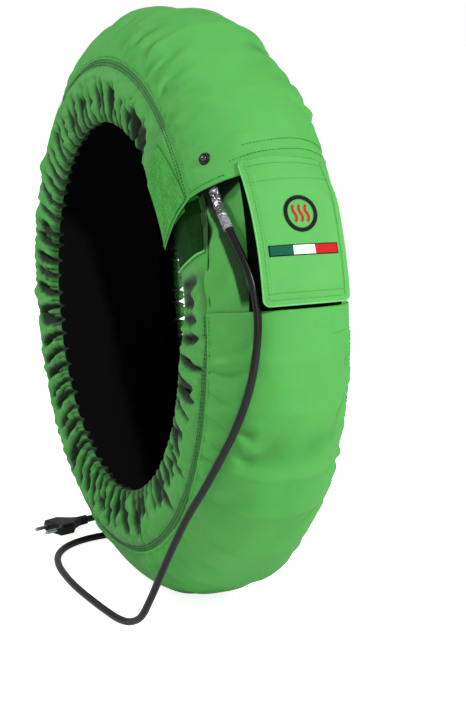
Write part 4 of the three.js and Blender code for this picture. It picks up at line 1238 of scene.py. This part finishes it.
STRIPE_TOP = 0.0935
STRIPE_END = 0.1025
prints = [
    printed("stripe_outline", STRIPE_TOP - 0.001, STRIPE_END + 0.001, 0.0108, 0.0882, black_print),
    printed("stripe_green", STRIPE_TOP, STRIPE_END, 0.012, 0.0368, green_print, 0.0007),
    printed("stripe_white", STRIPE_TOP, STRIPE_END, 0.0372, 0.0618, white_print, 0.0007),
    printed("stripe_red", STRIPE_TOP, STRIPE_END, 0.0622, 0.087, red_print, 0.0007),
]
mark_down, mark_across = 0.062, 0.0515
MARK_RADIUS = 0.0165
WAVE_REACH = 0.0085
WAVE_SWING = 0.0016
turn = np.linspace(0, 2 * np.pi, 60)
ring = [(mark_down + MARK_RADIUS * math.sin(q), mark_across + MARK_RADIUS * math.cos(q)) for q in turn]
prints.append(ribbon("mark_ring", ring, 0.0042, black_print))
for number, shift in enumerate((-0.0068, 0, 0.0068)):
    middle = mark_across + shift
    reach = np.linspace(-WAVE_REACH, WAVE_REACH, 24)
    wave = [(mark_down + q, middle + WAVE_SWING * math.sin(q / WAVE_REACH * math.pi)) for q in reach]
    prints.append(ribbon(f"mark_wave_{number + 1}", wave, 0.0027, red_print))

# Loop patch on the panel under the tab, which shows past the tab's near and lower edges. The loop tape is
# real; its near-black colour is painted shadow under those edges.

columns, rows = 60, 60
angle = np.linspace(34.6, CROSS_SEAM + 0.05, columns)[:, None] * np.ones(rows)[None, :]
near = np.interp(angle, [CROSS_SEAM, 20, 34.6], [-0.0485, -0.0458, -0.0418])
y = near + (0.0535 - near) * np.linspace(0, 1, rows)[None, :]
t = y / SEAM_HALF_WIDTH
under = PAD_DEPTH * smooth(angle, CROSS_SEAM - 3, CROSS_SEAM + 3) + pocket(angle, t) - 0.0011
loop_ground = grid_mesh("panel_loop_patch", band_surface(angle, t, under), under_tab_shadow_black, thickness=0.0008)
flip_to(loop_ground, off_axis)
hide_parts("panel_loop_tape")

# Sewing that holds the tab's top to the cover

def on_cover(places, rise=0.0006):
    """A line on the cover through (angle, share) places."""
    route, _ = route_through([(a * 0.0057, s * HALF_SECTION, 0) for a, s in places], 0.002)
    angle, share = route[:, 0] / 0.0057, route[:, 1]
    t = np.interp(share, section_run, section_fine)
    lift = cover_relief(angle, t, np.radians(angle) * FLAT_RADIUS, share)
    return band_surface(angle, t, -(lift + rise))


stitched(
    "tab_seam_stitches",
    [
        on_cover([(37.3, -0.46), (37.9, -0.1), (38.2, 0.3), (38.6, 0.62), (39.4, 0.86)]),
        on_cover([(39.6, -0.3), (40.2, 0.1), (40.6, 0.45), (41.4, 0.8)]),
        on_cover([(FLAP_EDGE + 1.1, -0.97), (FLAP_EDGE + 1.1, -0.8), (FLAP_EDGE + 1.1, -0.56)]),
    ],
    thread_dark,
    spacing=0.0038,
    length=0.0028,
    thread=0.00042,
)

# Indicator lamp

LAMP_ANGLE = 40
LAMP_SIDE = -0.0625


def lathe_mesh(name, profile, matrix, material, sides=48):
    """A turned body. profile is (radius, height) pairs from the axis or closed on itself."""
    rings = []
    for radius, height in profile:
        turn = np.linspace(0, 2 * np.pi, sides, endpoint=False)
        rings.append(np.stack([radius * np.cos(turn), radius * np.sin(turn), np.full(sides, height)], -1))
    points = np.concatenate(rings) @ np.array(matrix.to_3x3()).T + np.array(matrix.translation)
    faces = ring_faces(len(profile), sides)
    mesh = bpy.data.meshes.new(name)
    mesh.from_pydata(points.tolist(), [], faces)
    mesh.polygons.foreach_set("use_smooth", [True] * len(faces))
    mesh.materials.append(material)
    piece = new_object(name, mesh)
    close_up(piece)
    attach(piece, "root")
    return piece


lamp_at = Vector(under_flap(LAMP_ANGLE, LAMP_SIDE, 0))
beside, before = (Vector(under_flap(LAMP_ANGLE, LAMP_SIDE + step, 0)) for step in (0.002, -0.002))
across_axis = (beside - before).normalized()
lamp_turn = math.radians(LAMP_ANGLE)
along_axis = Vector((-math.sin(lamp_turn), 0, math.cos(lamp_turn)))
out_axis = along_axis.cross(across_axis).normalized()
if out_axis.dot(Vector((math.cos(lamp_turn), 0, math.sin(lamp_turn)))) < 0:
    out_axis = -out_axis
lamp_frame = Matrix((across_axis, out_axis.cross(across_axis), out_axis)).transposed().to_4x4()
lamp_frame.translation = lamp_at + out_axis * 0.0012
BEZEL = [
    (0.0037, -0.002), (0.0037, 0.0012), (0.0042, 0.0019), (0.0052, 0.002),
    (0.0061, 0.0014), (0.0065, 0.0005), (0.0065, -0.0016),
]
DOME = [
    (0.0036, -0.001), (0.0036, 0.0012), (0.0033, 0.0024),
    (0.0026, 0.0034), (0.0014, 0.0041), (0.0001, 0.0043),
]
bezel = lathe_mesh("lamp_bezel", BEZEL, lamp_frame, black_plastic)
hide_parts("lamp_holder")
dome = lathe_mesh("lamp_dome", DOME, lamp_frame, lens_glass)
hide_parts("lamp_lens")

# Clear sleeve over the cable's crimp

SLEEVE_START = 0.004
SLEEVE_LENGTH = 0.062
run = run_along(cord_path)
spots = np.linspace(SLEEVE_START, SLEEVE_START + SLEEVE_LENGTH, 90)
sleeve_path = np.stack([np.interp(spots, run, cord_path[:, k]) for k in range(3)], -1)
swell = 0.00515 + 0.00022 * np.sin(spots * 700) + 0.00018 * np.sin(spots * 1630 + 1)
sleeve = tube_mesh("foil_sleeve", sleeve_path, swell, 20, sleeve_foil)
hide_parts("cable_sleeve")

# Finishes of the pieces that stay as the frame has them

kept = {
    "thermostat": black_plastic,
    "heater_carrier": glass_cloth,
    "heating_wire": silicone,
    "near_skirt_hook_tape": green_tape,
    "far_skirt_hook_tape": green_tape,
    "near_skirt_loop_tape": loop_tape,
    "far_skirt_loop_tape": loop_tape,
    "tab_hook_tape": green_tape,
    "lamp_nut": black_plastic,
    "cable_ferrule": crimp_metal,
    "live_lead": silicone,
    "neutral_lead": silicone,
    "coil_tie": black_tape,
    "plug_body": black_plastic,
    "plug_pin_left": nickel,
    "plug_pin_right": nickel,
}
for name, material in kept.items():
    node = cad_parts[name]
    node.data.materials.clear()
    node.data.materials.append(material)

# Floor, backdrop and light


def backdrop(size=6.0):
    """A white floor that keeps the shadow of the ring."""
    mesh = bpy.data.meshes.new("floor")
    corners = [(-size, -size, 0), (size, -size, 0), (size, size, 0), (-size, size, 0)]
    mesh.from_pydata(corners, [], [(0, 1, 2, 3)])
    floor = new_object("floor", mesh)
    pale = Finish("pale floor", (0.86, 0.86, 0.86, 1), 0.9, Emission_Strength=1.0)
    seen = pale.node("ShaderNodeLightPath", output="Is Camera Ray")
    pale.set("Emission Color", pale.tint(seen, (0, 0, 0, 1), (0.85, 0.85, 0.85, 1)))
    mesh.materials.append(pale.material)


backdrop()

world = bpy.data.worlds.new("world")
scene.world = world
world.use_nodes = True
sky = Tree(world.node_tree)
ambient = world.node_tree.nodes["Background"]
ambient.inputs["Color"].default_value = (1, 1, 1, 1)
seen = sky.node("ShaderNodeLightPath", output="Is Camera Ray")
glossy = sky.node("ShaderNodeLightPath", output="Is Glossy Ray")
through = sky.node("ShaderNodeLightPath", output="Is Transmission Ray")
strength = 0.3 + 0.7 * (seen + 0.1 * glossy + through).clamped()
connect(world.node_tree, ambient.inputs["Strength"], strength)


def softbox(name, place, target, size, power):
    light = bpy.data.lights.new(name, "AREA")
    light.shape = "RECTANGLE"
    light.size, light.size_y = size
    light.energy = power
    lamp = new_object(name, light)
    lamp.location = place
    lamp.rotation_mode = "QUATERNION"
    lamp.rotation_quaternion = (Vector(target) - Vector(place)).to_track_quat("-Z", "Y")


softbox("key_light", (2.2, 1.35, 1.9), (0, 0, 0.3), (0.22, 0.22), 76)
softbox("side_light", (-0.6, -2.0, 2.6), (0, 0, 0.35), (0.4, 0.4), 50)
softbox("front_light", (2.5, -0.9, 1.0), (0, 0, 0.3), (1.0, 1.0), 9)
